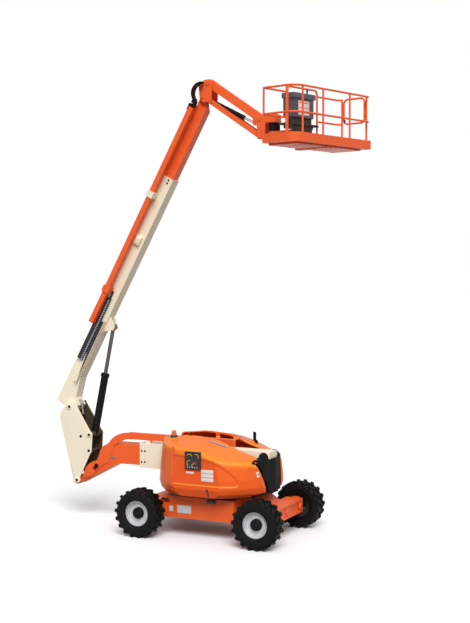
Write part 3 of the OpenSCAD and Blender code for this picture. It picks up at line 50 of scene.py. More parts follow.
lens.sensor_fit = "VERTICAL"
lens.sensor_height = 36
lens.lens = FOCAL_PIXELS / FRAME_HEIGHT * lens.sensor_height
camera = bpy.data.objects.new("camera", lens)
camera.location = CAMERA_AT
camera.rotation_euler = (radians(90 - CAMERA_DIP), 0, radians(CAMERA_TURN))
bpy.context.scene.collection.objects.link(camera)
bpy.context.scene.camera = camera
bpy.context.scene.view_settings.view_transform = "Standard"


# Studio floor: one wide sheet of plain white paper under the wheels.
# It is paler to the eye than to the light it throws back, so the lift's underside stays in shade.
class Wire:
    """A node's output, with the arithmetic that the finishes use."""

    def __init__(self, finish, socket):
        self.finish, self.socket = finish, socket

    def math(self, operation, a, b):
        return self.finish.node("ShaderNodeMath", {"operation": operation}, {0: a, 1: b})

    def __add__(self, other):
        return self.math("ADD", self, other)

    def __radd__(self, other):
        return self.math("ADD", other, self)

    def __sub__(self, other):
        return self.math("SUBTRACT", self, other)

    def __rsub__(self, other):
        return self.math("SUBTRACT", other, self)

    def __mul__(self, other):
        return self.math("MULTIPLY", self, other)

    def __rmul__(self, other):
        return self.math("MULTIPLY", other, self)

    def __truediv__(self, other):
        return self.math("DIVIDE", self, other)

    def __rtruediv__(self, other):
        return self.math("DIVIDE", other, self)

    def least(self, other):
        return self.math("MINIMUM", self, other)

    def most(self, other):
        return self.math("MAXIMUM", self, other)

    def size(self):
        return self.math("ABSOLUTE", self, 0)


class Finish:
    """A material, or the world, and the nodes that make it."""

    def __init__(self, holder):
        holder.use_nodes = True
        self.holder, self.tree = holder, holder.node_tree
        self.tree.nodes.clear()

    def node(self, kind, settings=None, sockets=None, out=0):
        made = self.tree.nodes.new(kind)
        for key, value in (settings or {}).items():
            setattr(made, key, value)
        for key, value in (sockets or {}).items():
            if isinstance(value, Wire):
                self.tree.links.new(value.socket, made.inputs[key])
            else:
                made.inputs[key].default_value = value
        return Wire(self, made.outputs[out]) if len(made.outputs) else made


FLOOR_HALF = 160
PAPER, PAPER_GRAIN, PAPER_BOUNCE = (0.985, 0.98, 0.99, 1), (0.96, 0.955, 0.97, 1), (0.20, 0.185, 0.19, 1)
floor_mesh = bmesh.new()
bmesh.ops.create_grid(floor_mesh, x_segments=4, y_segments=4, size=FLOOR_HALF)
floor_sheet = bpy.data.meshes.new("floor")
floor_mesh.to_mesh(floor_sheet)
floor_mesh.free()
floor = bpy.data.objects.new("floor", floor_sheet)
bpy.context.scene.collection.objects.link(floor)
paper = Finish(bpy.data.materials.new("floor_paper"))
seen = paper.node("ShaderNodeLightPath", out="Is Camera Ray")
mirrored = paper.node("ShaderNodeLightPath", out="Is Glossy Ray")
passed = paper.node("ShaderNodeLightPath", out="Is Transmission Ray")
grain = paper.node("ShaderNodeTexNoise", {}, {"Scale": 3.0, "Detail": 3.0})
sheet_white = paper.node("ShaderNodeMix", {"data_type": "RGBA"},
                         {"Factor": grain * 0.02, "A": PAPER, "B": PAPER_GRAIN}, out=2)
bright = paper.node("ShaderNodeBsdfDiffuse", {}, {"Color": sheet_white})
dull = paper.node("ShaderNodeBsdfDiffuse", {}, {"Color": PAPER_BOUNCE})
both = paper.node("ShaderNodeMixShader", {}, {0: (seen + mirrored + passed).least(1), 1: dull, 2: bright})
paper.node("ShaderNodeOutputMaterial", {}, {"Surface": both})
floor_sheet.materials.append(paper.holder)

# Studio light: a white tent all round and one large soft lamp, high in front of the near side.
# The tent shows as plain white behind the lift and, less brightly, in its polished rods.
TENT_FILL, TENT_IN_GLOSS = 0.52, 0.3
LAMP_STRENGTH, LAMP_SPREAD, LAMP_WAY = 2.7, 34, Vector((-0.36, 0.62, -0.70))
tent = Finish(bpy.data.worlds.new("tent"))
bpy.context.scene.world = tent.holder
seen = tent.node("ShaderNodeLightPath", out="Is Camera Ray")
mirrored = tent.node("ShaderNodeLightPath", out="Is Glossy Ray")
passed = tent.node("ShaderNodeLightPath", out="Is Transmission Ray")
shown = (seen + passed + mirrored * TENT_IN_GLOSS).least(1)
tent_light = tent.node("ShaderNodeBackground", {},
                       {"Color": (1, 1, 1, 1), "Strength": shown * (1 - TENT_FILL) + TENT_FILL})
tent.node("ShaderNodeOutputWorld", {}, {"Surface": tent_light})
lamp = bpy.data.lights.new("softbox", "SUN")
lamp.energy = LAMP_STRENGTH
lamp.angle = radians(LAMP_SPREAD)
lamp_stand = bpy.data.objects.new("softbox", lamp)
lamp_stand.rotation_euler = LAMP_WAY.to_track_quat("-Z", "Y").to_euler()
bpy.context.scene.collection.objects.link(lamp_stand)

# Chassis and axles: welded steel box sections, sprayed in orange enamel after welding.
# The enamel has faint orange peel, uneven depth, and road dust that thins out with height.
ROAD_DUST, DUST_TOP = (0.26, 0.15, 0.09, 1), 1.1


def enamel(name, colour, deep, dust, rough=0.42, shine=0.35):
    """Sprayed paint: its colour, its colour where it lies deeper, and how much dust it holds low down."""
    paint = Finish(bpy.data.materials.new(name))
    place = paint.node("ShaderNodeTexCoord", out="Object")
    cloud = paint.node("ShaderNodeTexNoise", {},
                       {"Vector": place, "Scale": 1.9, "Detail": 5.0, "Roughness": 0.6})
    drawn = paint.node("ShaderNodeMapping", {}, {"Vector": place, "Scale": (7.0, 7.0, 0.9)})
    streak = paint.node("ShaderNodeTexNoise", {}, {"Vector": drawn, "Scale": 2.2, "Detail": 4.0})
    height = paint.node("ShaderNodeSeparateXYZ", {}, {"Vector": place}, out="Z")
    low = (1 - height / DUST_TOP).most(0)
    grime = (low * low * (cloud + streak * 0.6) * dust).least(0.6)
    depth = (cloud * 0.9 + streak * 0.45 - 0.28).most(0).least(1)
    tone = paint.node("ShaderNodeMix", {"data_type": "RGBA"},
                      {"Factor": depth, "A": (*colour, 1), "B": (*deep, 1)}, out=2)
    worn = paint.node("ShaderNodeMix", {"data_type": "RGBA"},
                      {"Factor": grime, "A": tone, "B": ROAD_DUST}, out=2)
    peel = paint.node("ShaderNodeTexNoise", {}, {"Vector": place, "Scale": 30.0, "Detail": 1.0})
    waves = paint.node("ShaderNodeBump", {}, {"Strength": 0.05, "Distance": 0.003, "Height": peel})
    gloss = rough + (streak - 0.5) * 0.2 + grime * 0.4
    body = paint.node("ShaderNodeBsdfPrincipled", {},
                      {"Base Color": worn, "Roughness": gloss, "Normal": waves, "Specular IOR Level": shine})
    paint.node("ShaderNodeOutputMaterial", {}, {"Surface": body})
    return paint.holder


def dress(finish, *nodes):
    """Gives solids that stay as they are their finish."""
    for node in nodes:
        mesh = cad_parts[node].data
        for i in range(len(mesh.materials)):
            mesh.materials[i] = finish


orange = enamel("orange_enamel", (0.95, 0.138, 0.025), (0.85, 0.104, 0.018), dust=0.06)
dress(orange, "chassis_frame", "front_axle", "rear_axle")


# Axle ends: forged pin bosses with round cover caps, held by four small bolts each.
# They close the pivots at the corners of the steered axle's front face.
def fasten(name, shape, finishes, body, sharp=38):
    """Makes a shape a piece that rides on a body. Edges turned by more than sharp degrees stay crisp."""
    mesh = bpy.data.meshes.new(name)
    shape.to_mesh(mesh)
    shape.free()
    for finish in finishes:
        mesh.materials.append(finish)
    mesh.polygons.foreach_set("use_smooth", [True] * len(mesh.polygons))
    mesh.set_sharp_from_angle(angle=radians(sharp))
    obj = bpy.data.objects.new(name, mesh)
    bpy.context.scene.collection.objects.link(obj)
    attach(obj, body)
    return obj


def join(shape, part, finish):
    """Adds a part to a shape, closed up and facing outwards, in one of the piece's finishes."""
    bmesh.ops.remove_doubles(part, verts=part.verts, dist=1e-5)
    bmesh.ops.recalc_face_normals(part, faces=part.faces)
    for face in part.faces:
        face.material_index = finish
    spare = bpy.data.meshes.new("spare")
    part.to_mesh(spare)
    part.free()
    shape.from_mesh(spare)
    bpy.data.meshes.remove(spare)


def turned(shape, profile, centre, axis, steps=40, finish=0, sweep=2 * pi, start=None):
    """Turns a profile of (radius, height) points about an axis, as on a lathe."""
    part, axis = bmesh.new(), Vector(axis).normalized()
    side = Vector(start) if start else axis.orthogonal().normalized()
    points = [part.verts.new(Vector(centre) + side * r + axis * h) for r, h in profile]
    edges = [part.edges.new(pair) for pair in zip(points, points[1:])]
    bmesh.ops.spin(part, geom=points + edges, cent=centre, axis=axis, angle=sweep, steps=steps,
                   use_merge=sweep == 2 * pi)
    join(shape, part, finish)


def slab(shape, low, high, ease, finish=0, place=Matrix()):
    """A block between two corners with its edges eased."""
    part, low, high = bmesh.new(), Vector(low), Vector(high)
    at = place @ Matrix.Translation((low + high) / 2) @ Matrix.Diagonal((*(high - low), 1))
    bmesh.ops.create_cube(part, size=1, matrix=at)
    bmesh.ops.bevel(part, geom=part.edges[:], offset=ease, offset_type="OFFSET", segments=2, profile=0.5,
                    affect="EDGES", material=-1)
    join(shape, part, finish)


def bolt(shape, place, axis, radius, finish=0):
    """A hexagon head on its round washer."""
    turn = Vector(axis).to_track_quat("Z", "Y").to_matrix().to_4x4()
    washer = (18, radius * 1.5, radius * 1.4, 0, radius * 0.3)
    head = (6, radius, radius * 0.9, radius * 0.3, radius * 0.75)
    for sides, foot_r, top_r, start, depth in (washer, head):
        part = bmesh.new()
        at = Matrix.Translation(Vector(place) + Vector(axis) * (start + depth / 2)) @ turn
        bmesh.ops.create_cone(part, cap_ends=True, segments=sides, radius1=foot_r, radius2=top_r, depth=depth,
                              matrix=at)
        join(shape, part, finish)


PIVOT_Y, PIVOT_Z, CAP_RING, CAP_RISE, CAP_BOLT = 0.62, 0.5, 0.045, 0.018, 0.007
CAP_PROFILE = [(0, 0.022), (0.05, 0.02), (0.066, 0.012), (0.07, -0.001)]
axle_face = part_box("front_axle")[1].x
caps = bmesh.new()
for y in (-PIVOT_Y, PIVOT_Y):
    turned(caps, CAP_PROFILE, (axle_face, y, PIVOT_Z), (1, 0, 0))
    for k in range(4):
        angle = pi / 4 + k * pi / 2
        at = (axle_face + CAP_RISE, y + CAP_RING * cos(angle), PIVOT_Z + CAP_RING * sin(angle))
        bolt(caps, at, (1, 0, 0), CAP_BOLT)
fasten("axle_pivot_caps", caps, [orange], "chassis")


# Tyres: black lugged rubber on a foam-filled carcass, pressed on the rims.
# The tread is greyed by use and the sidewalls keep their moulded black.
def rubber(name):
    tread = Finish(bpy.data.materials.new(name))
    place = tread.node("ShaderNodeTexCoord", out="Object")
    cloud = tread.node("ShaderNodeTexNoise", {},
                       {"Vector": place, "Scale": 5.0, "Detail": 6.0, "Roughness": 0.65})
    mould = tread.node("ShaderNodeTexNoise", {}, {"Vector": place, "Scale": 70.0, "Detail": 3.0})
    dust = (cloud * 1.5 - 0.52).most(0).least(1)
    fresh, dusty = (0.0035, 0.0033, 0.0037, 1), (0.015, 0.013, 0.0115, 1)
    colour = tread.node("ShaderNodeMix", {"data_type": "RGBA"},
                        {"Factor": dust * 0.6, "A": fresh, "B": dusty}, out=2)
    bumps = tread.node("ShaderNodeBump", {}, {"Strength": 0.25, "Distance": 0.004, "Height": mould + cloud})
    body = tread.node("ShaderNodeBsdfPrincipled", {},
                      {"Base Color": colour, "Roughness": 0.62 + dust * 0.3, "Normal": bumps,
                       "Specular IOR Level": 0.15})
    tread.node("ShaderNodeOutputMaterial", {}, {"Surface": body})
    return tread.holder


dress(rubber("tyre_rubber"), "tyre_front_near", "tyre_front_far", "tyre_rear_near", "tyre_rear_far")


# Rims: pressed steel dishes sprayed silver, each bolted to a black drive hub.
# The lip is rolled over at the tyre and the dish steps in twice to the bolting face.
def bare_metal(name, colour, rough, metal, smear):
    metal_skin = Finish(bpy.data.materials.new(name))
    place = metal_skin.node("ShaderNodeTexCoord", out="Object")
    wipe = metal_skin.node("ShaderNodeTexNoise", {}, {"Vector": place, "Scale": 9.0, "Detail": 5.0})
    fine = metal_skin.node("ShaderNodeTexNoise", {}, {"Vector": place, "Scale": 85.0, "Detail": 2.0})
    soil = (wipe * 1.7 - 0.62).most(0).least(1)
    film = (0.16, 0.14, 0.125, 1)
    shade = metal_skin.node("ShaderNodeMix", {"data_type": "RGBA"},
                            {"Factor": soil * smear, "A": (*colour, 1), "B": film}, out=2)
    bumps = metal_skin.node("ShaderNodeBump", {}, {"Strength": 0.06, "Distance": 0.002, "Height": fine})
    body = metal_skin.node("ShaderNodeBsdfPrincipled", {},
                           {"Base Color": shade, "Roughness": rough + fine * 0.12 + soil * 0.2,
                            "Metallic": metal, "Normal": bumps})
    metal_skin.node("ShaderNodeOutputMaterial", {}, {"Surface": body})
    return metal_skin.holder


silver = bare_metal("wheel_silver", (0.62, 0.62, 0.64), 0.36, 0.35, 0.35)
black = enamel("black_enamel", (0.0045, 0.0045, 0.005), (0.007, 0.0065, 0.0065), dust=0.03, rough=0.45,
               shine=0.13)
# The dish's back is given a dark brown finish, much darker than its silver face.
dark_dish_back = bare_metal("rim_inside", (0.030, 0.020, 0.015), 0.6, 0.1, 0.3)
WHEEL_X, WHEEL_Y, WHEEL_R = 1.23, 1.045, 0.461
HUB_R, BORE_R, LIP_R = 0.112, 0.114, 0.2428
HUB_BOLTS, HUB_RING, HUB_FACE, HUB_BOLT = 9, 0.072, 0.1095, 0.0075
NUTS, NUT_RING, NUT_FACE, NUT_R, NUT_TURN = 10, 0.130, 0.0455, 0.0085, 0.2
DISH_FRONT = [(BORE_R, 0.046), (0.145, 0.046), (0.172, 0.036), (0.196, 0.046), (0.205, 0.075), (0.221, 0.083),
              (0.226, 0.112), (0.2355, 0.126), (0.2425, 0.125), (LIP_R, 0.105), (LIP_R, 0)]
DISH_BACK = [(LIP_R, 0), (LIP_R, -0.105), (0.2425, -0.125), (0.2355, -0.126), (0.226, -0.112), (0.221, -0.03),
             (0.190, 0.02), (0.135, 0.03), (BORE_R, 0.03), (BORE_R, 0.046)]
HUB_PROFILE = [(0, 0.119), (0.040, 0.119), (0.046, 0.112), (0.088, 0.109), (0.102, 0.101), (0.110, 0.084),
               (HUB_R, 0.02), (HUB_R, -0.0595), (0, -0.0595)]
for end, x in (("front", WHEEL_X), ("rear", -WHEEL_X)):
    for side, sign in (("near", -1), ("far", 1)):
        centre, out = Vector((x, sign * WHEEL_Y, WHEEL_R)), Vector((0, sign, 0))
        dish = bmesh.new()
        turned(dish, DISH_FRONT, centre, out, steps=72)
        turned(dish, DISH_BACK, centre, out, steps=72, finish=1)
        hub = bmesh.new()
        turned(hub, HUB_PROFILE, centre, out, steps=48)
        for k in range(HUB_BOLTS):
            a = 2 * pi * k / HUB_BOLTS
            spoke = Vector((HUB_RING * cos(a), 0, HUB_RING * sin(a)))
            bolt(hub, centre + out * HUB_FACE + spoke, out, HUB_BOLT)
        for k in range(NUTS):
            a = 2 * pi * k / NUTS + NUT_TURN
            spoke = Vector((NUT_RING * cos(a), 0, NUT_RING * sin(a)))
            bolt(dish, centre + out * NUT_FACE + spoke, out, NUT_R)
        wheel = f"wheel_{end}_{side}"
        fasten(f"hub_{end}_{side}", hub, [black], wheel)
        rim_piece = fasten(f"rim_{end}_{side}_dish", dish, [silver, dark_dish_back], wheel)
        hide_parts(f"rim_{end}_{side}")
dress(black, "knuckle_near", "knuckle_far")

# Swing bearing and turntable: a machined slewing ring under a welded deck of heavy plate.
# Deck and boom supports are sprayed dark and mostly hidden under the hoods.
dark = enamel("dark_enamel", (0.014, 0.012, 0.010), (0.009, 0.008, 0.008), dust=0.1, rough=0.55, shine=0.2)
dress(dark, "turntable_frame")
dress(black, "swing_ring")


# Counterweight: one thick casting bolted to the tail of the deck, filled and sprayed near black.
# Its sand-cast skin stays a little pitted under the paint, as the engine's does.
def casting(name, colour, pale):
    cast = Finish(bpy.data.materials.new(name))
    place = cast.node("ShaderNodeTexCoord", out="Object")
    pits = cast.node("ShaderNodeTexVoronoi", {}, {"Vector": place, "Scale": 42.0})
    cloud = cast.node("ShaderNodeTexNoise", {}, {"Vector": place, "Scale": 3.5, "Detail": 6.0})
    facing = cast.node("ShaderNodeNewGeometry", out="Normal")
    up = cast.node("ShaderNodeSeparateXYZ", {}, {"Vector": facing}, out="Z")
    # Painted highlight: faces turning upward are mixed halfway toward the paler colour, besides the random
    # dust patches.
    dust = (cloud * 1.4 - 0.45).most(0).least(1) * 0.5 + up.most(0) * 0.5
    shade = cast.node("ShaderNodeMix", {"data_type": "RGBA"},
                      {"Factor": dust, "A": (*colour, 1), "B": (*pale, 1)}, out=2)
    bumps = cast.node("ShaderNodeBump", {}, {"Strength": 0.22, "Distance": 0.004, "Height": pits + cloud})
    body = cast.node("ShaderNodeBsdfPrincipled", {},
                     {"Base Color": shade, "Roughness": 0.5 + cloud * 0.2, "Normal": bumps,
                      "Specular IOR Level": 0.14})
    cast.node("ShaderNodeOutputMaterial", {}, {"Surface": body})
    return cast.holder


# The paler second colour is both the dust and the painted bluish highlight on the tops.
weight_skin = casting("weight_casting", (0.0055, 0.0045, 0.0032), (0.008, 0.008, 0.013))
dress(weight_skin, "counterweight")
NOSE = ((1.060, 0.424), (1.1305, 0.2594), (1.190, 0.119))
CHEEK_Z, CHEEK_LAP, CHEEK_IN, CHEEK_OUT = (1.12, 1.528), 0.004, 0.008, 0.003
LIFT_BOLT_AT, LIFT_BOLT_WAY, LIFT_BOLT = (0.976, 0.5625, 1.492), (0.846, 0.533), 0.013
cheeks = bmesh.new()
for side in (-1, 1):
    for (x0, y0), (x1, y1) in zip(NOSE, NOSE[1:]):
        along = Vector((x1 - x0, side * (y1 - y0), 0))
        out = Vector((abs(y1 - y0), side * (x1 - x0), 0)).normalized()
        place = Matrix((along.normalized(), out, Vector((0, 0, 1)))).transposed().to_4x4()
        place.translation = (x0, side * y0, 0)
        slab(cheeks, (-CHEEK_LAP, -CHEEK_IN, CHEEK_Z[0]),
             (along.length + CHEEK_LAP, CHEEK_OUT, CHEEK_Z[1]), 0.002, place=place)
for side in (-1, 1):
    x, y, z = LIFT_BOLT_AT
    way = Vector((LIFT_BOLT_WAY[0], side * LIFT_BOLT_WAY[1], 0))
    bolt(cheeks, (x, side * y, z), way, LIFT_BOLT, finish=1)
fasten("weight_cheeks", cheeks, [weight_skin, orange], "turntable")
dress(casting("engine_casting", (0.10, 0.105, 0.115), (0.16, 0.155, 0.15)), "engine_block")

# Hoods and rear corner panels: moulded fibreglass shells in the same orange, with a smooth gel coat.
# They share one domed outline about the swing axis and have a shallow D-shaped side panel.
# A painted yellow highlight is mixed into the colour where the shoulders tilt upwards.
GEL, GEL_DEEP, GEL_HIGHLIGHT = (0.90, 0.125, 0.018, 1), (0.80, 0.090, 0.014, 1), (0.90, 0.34, 0.030, 1)
HIGHLIGHT_TILT, HIGHLIGHT_SPREAD = 0.62, 0.6
gel_coat = Finish(bpy.data.materials.new("gel_orange"))
place = gel_coat.node("ShaderNodeTexCoord", out="Object")
cloud = gel_coat.node("ShaderNodeTexNoise", {}, {"Vector": place, "Scale": 1.4, "Detail": 4.0})
facing = gel_coat.node("ShaderNodeNewGeometry", out="Normal")
up = gel_coat.node("ShaderNodeSeparateXYZ", {}, {"Vector": facing}, out="Z")
# Painted highlight: faces tilted up about as steeply as the shoulders are mixed toward a yellow orange.
shoulder = (1 - (up - HIGHLIGHT_TILT).size() / HIGHLIGHT_SPREAD).most(0)
sprayed = gel_coat.node("ShaderNodeMix", {"data_type": "RGBA"},
                        {"Factor": (cloud * 1.2 - 0.2).most(0).least(1), "A": GEL, "B": GEL_DEEP}, out=2)
highlight_amount = (shoulder * (cloud + 0.45)).least(1) * 0.85
highlighted = gel_coat.node("ShaderNodeMix", {"data_type": "RGBA"},
                      {"Factor": highlight_amount, "A": sprayed, "B": GEL_HIGHLIGHT}, out=2)
ripple = gel_coat.node("ShaderNodeBump", {}, {"Strength": 0.03, "Distance": 0.004, "Height": cloud})
moulded = gel_coat.node("ShaderNodeBsdfPrincipled", {},
                        {"Base Color": highlighted, "Roughness": 0.36 + (cloud - 0.5) * 0.15, "Normal": ripple,
                         "Specular IOR Level": 0.19})
gel_coat.node("ShaderNodeOutputMaterial", {}, {"Surface": moulded})
gel = gel_coat.holder
PANEL_EDGE = ((-1.3, 1.1), (-0.53, 1.1), (-0.51, 1.65), (0.13, 1.62), (0.39, 1.56), (0.55, 1.47),
              (0.69, 1.37), (0.80, 1.25), (1.2, 1.2))
BEACON_BOSS, EXHAUST_AT, BOSS_REACH = (-0.772, -0.512), (0.42, 0.64), 0.11
WALL_STOCK, INWARD, VOXEL = 0.014, 0.3, 0.011
SLOT_HALF, ROUNDING_PASSES, CRISP, MERGE = 0.41, 200, 50, 2e-5
DOOR_REAR, DOOR_FRONT, CORNER_REAR, CORNER_FRONT = -0.495, 0.90, -1.3, -0.54


def on_shoulder(point, rear, front):
    """Whether a point is above the side panel's edge, outside the boom slot and clear of the bosses."""
    x, y, z = point
    (x0, z0), (x1, z1) = next((p, q) for p, q in zip(PANEL_EDGE, PANEL_EDGE[1:]) if p[0] <= x < q[0])
    edge = z0 + (z1 - z0) * (x - x0) / (x1 - x0)
    clear = all((x - p) ** 2 + (y - q) ** 2 > BOSS_REACH ** 2 for p, q in (BEACON_BOSS, EXHAUST_AT))
    return z > edge and abs(y) > SLOT_HALF and rear < x < front and clear


def moulding(node, body, rear, front):
    """A door's or corner's surface on an even mesh, with its shoulders rounded as a mould leaves them."""
    rough_cut = bmesh.new()
    rough_cut.from_mesh(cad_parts[node].data)
    bmesh.ops.remove_doubles(rough_cut, verts=rough_cut.verts, dist=MERGE)
    rough_cut.normal_update()
    inside = [v for v in rough_cut.verts
              if v.normal.x * v.co.x + v.normal.y * v.co.y < -INWARD * v.co.xy.length]
    for v, inward in [(v, v.normal * WALL_STOCK) for v in inside]:
        v.co += inward
    draft_mesh = bpy.data.meshes.new("draft")
    rough_cut.to_mesh(draft_mesh)
    rough_cut.free()
    draft = bpy.data.objects.new("draft", draft_mesh)
    bpy.context.scene.collection.objects.link(draft)
    even = draft.modifiers.new("even", "REMESH")
    even.mode, even.voxel_size = "VOXEL", VOXEL
    evened = bpy.data.meshes.new_from_object(draft.evaluated_get(bpy.context.evaluated_depsgraph_get()))
    bpy.data.objects.remove(draft)
    shell = bmesh.new()
    shell.from_mesh(evened)
    shoulder = [v for v in shell.verts if on_shoulder(v.co, rear, front)]
    for _ in range(ROUNDING_PASSES):
        bmesh.ops.smooth_vert(shell, verts=shoulder, factor=0.5, use_axis_x=True, use_axis_y=True,
                              use_axis_z=True)
    obj = fasten(node + "_moulding", shell, [gel], body, CRISP)
    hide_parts(node)
    return obj


doors = {side: moulding(f"hood_{side}", f"hood_{side}", DOOR_REAR, DOOR_FRONT) for side in ("near", "far")}
for side in ("near", "far"):
    moulding(f"corner_{side}", "turntable", CORNER_REAR, CORNER_FRONT)


# Exhaust stack: a short straight steel pipe, painted with heat-proof black.
# It stands in a bolted collar on the far hood near its front slope.
def skin(node, body, finish, sharp=33):
    """A copy of a solid's surface, joined up so that its curves shade smoothly."""
    shell = bmesh.new()
    shell.from_mesh(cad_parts[node].data)
    bmesh.ops.remove_doubles(shell, verts=shell.verts, dist=MERGE)
    for face in shell.faces:
        face.material_index = 0
    obj = fasten(node + "_skin", shell, [finish], body, sharp)
    even = obj.modifiers.new("even_normals", "WEIGHTED_NORMAL")
    even.keep_sharp = True
    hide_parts(node)
    return obj


COLLAR_TOP, COLLAR_RING, COLLAR_BOLT = 1.7235, 0.048, 0.006
COLLAR_PROFILE = [(0.0325, COLLAR_TOP), (0.058, COLLAR_TOP), (0.066, 1.718), (0.0675, 1.708), (0.0675, 1.640)]
skin("exhaust", "hood_far", black)
collar = bmesh.new()
turned(collar, COLLAR_PROFILE, (*EXHAUST_AT, 0), (0, 0, 1), steps=32)
for k in range(4):
    a = k * pi / 2
    at = (EXHAUST_AT[0] + COLLAR_RING * cos(a), EXHAUST_AT[1] + COLLAR_RING * sin(a), COLLAR_TOP)
    bolt(collar, at, (0, 0, 1), COLLAR_BOLT)
fasten("exhaust_collar", collar, [black], "hood_far")


# Hood vents: slim moulded louvres set on the crown of each door beside the boom slot.
# A dark frame follows the crown's curve and holds pale blades.
def plastic(name, colour, rough=0.5):
    moulded = Finish(bpy.data.materials.new(name))
    place = moulded.node("ShaderNodeTexCoord", out="Object")
    cloud = moulded.node("ShaderNodeTexNoise", {}, {"Vector": place, "Scale": 6.0, "Detail": 4.0})
    grain = moulded.node("ShaderNodeTexNoise", {}, {"Vector": place, "Scale": 160.0, "Detail": 2.0})
    faded = (*(c * 0.72 + 0.004 for c in colour), 1)
    shade = moulded.node("ShaderNodeMix", {"data_type": "RGBA"},
                         {"Factor": cloud * 0.8, "A": (*colour, 1), "B": faded}, out=2)
    bumps = moulded.node("ShaderNodeBump", {}, {"Strength": 0.15, "Distance": 0.0015, "Height": grain})
    body = moulded.node("ShaderNodeBsdfPrincipled", {},
                        {"Base Color": shade, "Roughness": rough + (cloud - 0.5) * 0.25, "Normal": bumps})
    moulded.node("ShaderNodeOutputMaterial", {}, {"Surface": body})
    return moulded.holder


def seat(origin, to, normal):
    """A place on a surface: x runs to the second point and z along the normal."""
    along = (Vector(to) - Vector(origin)).normalized()
    up = (Vector(normal) - along * along.dot(Vector(normal))).normalized()
    place = Matrix((along, up.cross(along), up)).transposed().to_4x4()
    place.translation = origin
    return place


black_plastic = plastic("black_plastic", (0.009, 0.009, 0.010))
pale = plastic("vent_blade", (0.42, 0.43, 0.52))
BLADES, VENT_START, VENT_END = 12, Vector((-0.02, 0.526)), Vector((0.355, 0.478))
VENT_HALF, VENT_LAP, VENT_DEPTH, VENT_RISE = 0.030, 0.001, 0.012, 0.003
BLADE_HALF, BLADE_GAP, BLADE_FOOT, BLADE_TOP = 0.022, 0.003, 0.001, 0.010
ABOVE_HOODS = 2.5
for side, sign in (("near", -1), ("far", 1)):
    vent, on_door, built = bmesh.new(), [], bpy.context.evaluated_depsgraph_get()
    for k in range(BLADES + 1):
        x, y = VENT_START.lerp(VENT_END, k / BLADES)
        _, at, normal, _ = doors[side].ray_cast((x, sign * y, ABOVE_HOODS), (0, 0, -1), depsgraph=built)
        on_door.append((at, normal))
    for (at, normal), (to, _) in zip(on_door, on_door[1:]):
        run, place = (to - at).length, seat(at, to, normal)
        slab(vent, (-VENT_LAP, -VENT_HALF, -VENT_DEPTH), (run + VENT_LAP, VENT_HALF, VENT_RISE), 0.0008,
             place=place)
        slab(vent, (BLADE_GAP, -BLADE_HALF, BLADE_FOOT), (run - BLADE_GAP, BLADE_HALF, BLADE_TOP), 0.002,
             finish=1, place=place)
    fasten(f"hood_vent_{side}", vent, [black_plastic, pale], f"hood_{side}")


# Beacon: an amber lens over a black moulded base, on the near rear corner panel.
# The lens has a stepped foot ring and fine moulded ribs round its dome.
def lens_finish(name, colour, between):
    amber = Finish(bpy.data.materials.new(name))
    place = amber.node("ShaderNodeTexCoord", out="Object")
    ribs = amber.node("ShaderNodeTexWave", {"bands_direction": "Z"},
                      {"Vector": place, "Scale": 26.0, "Distortion": 0.4})
    shade = amber.node("ShaderNodeMix", {"data_type": "RGBA"},
                       {"Factor": ribs * 0.5, "A": (*colour, 1), "B": (*between, 1)}, out=2)
    body = amber.node("ShaderNodeBsdfPrincipled", {},
                      {"Base Color": shade, "Roughness": 0.14 + ribs * 0.1, "Coat Weight": 0.6,
                       "Coat Roughness": 0.05})
    amber.node("ShaderNodeOutputMaterial", {}, {"Surface": body})
    return amber.holder


DOME_PROFILE = [(0, 0.1399), (0.018, 0.138), (0.036, 0.129), (0.046, 0.112), (0.050, 0.088), (0.052, 0.058),
                (0.057, 0.054), (0.058, 0.041), (0, 0.041)]
FOOT_PROFILE = [(0, 0.0408), (0.060, 0.0408), (0.066, 0.034), (0.0715, 0.012), (0.0715, 0.0005), (0, 0.0005)]
amber_glass = lens_finish("amber_lens", (0.62, 0.15, 0.02), (0.36, 0.05, 0.008))
base_low, base_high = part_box("beacon")
beacon_foot = ((base_low.x + base_high.x) / 2, (base_low.y + base_high.y) / 2, base_low.z)
dome = bmesh.new()
turned(dome, DOME_PROFILE, beacon_foot, (0, 0, 1), steps=36)
lens_piece = fasten("beacon_lens", dome, [amber_glass], "turntable")
foot = bmesh.new()
turned(foot, FOOT_PROFILE, beacon_foot, (0, 0, 1), steps=36)
fasten("beacon_foot", foot, [black_plastic], "turntable")
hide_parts("beacon")

# Ground controls: a black moulded box on the near hood with a thin glossy face plate.
# The plate carries dial arcs in yellow, a red stop knob and a row of five toggles.
FACE_SET, FACE_RISE, FACE_LAP, BOX_RIM = 0.006, 0.003, 0.01, 0.018
DIALS = ((0.10, 0.23, 0.050, 20, 130), (0.10, 0.115, 0.046, 80, 170), (0.235, 0.235, 0.048, -20, 130),
         (0.19, 0.075, 0.030, 100, 160))
DIAL_FOOT, DIAL_RISE, DIAL_W = 0.002, 0.005, 0.011
KNOB_X, KNOB_Z, KNOB_PROFILE = 0.212, 0.122, [(0, 0.006), (0.016, 0.006), (0.022, 0.005), (0.022, 0.002)]
TOGGLES, TOGGLE_X, TOGGLE_STEP, TOGGLE_Z = 5, 0.06, 0.05, 0.040
TOGGLE_PROFILE = [(0, 0.006), (0.004, 0.006), (0.005, 0.004), (0.010, 0.0035), (0.011, 0.002)]
yellow = plastic("yellow_print", (0.78, 0.52, 0.02), 0.4)
red = plastic("red_knob", (0.72, 0.035, 0.012), 0.3)
panel_face = plastic("panel_face", (0.008, 0.008, 0.009), 0.32)
low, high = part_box("control_panel")
face_y = low.y + FACE_SET
controls = bmesh.new()
slab(controls, (low.x, face_y, low.z), high, 0.008)
slab(controls, (low.x + BOX_RIM, face_y - FACE_RISE, low.z + BOX_RIM),
     (high.x - BOX_RIM, face_y + FACE_LAP, high.z - BOX_RIM), 0.002, finish=1)
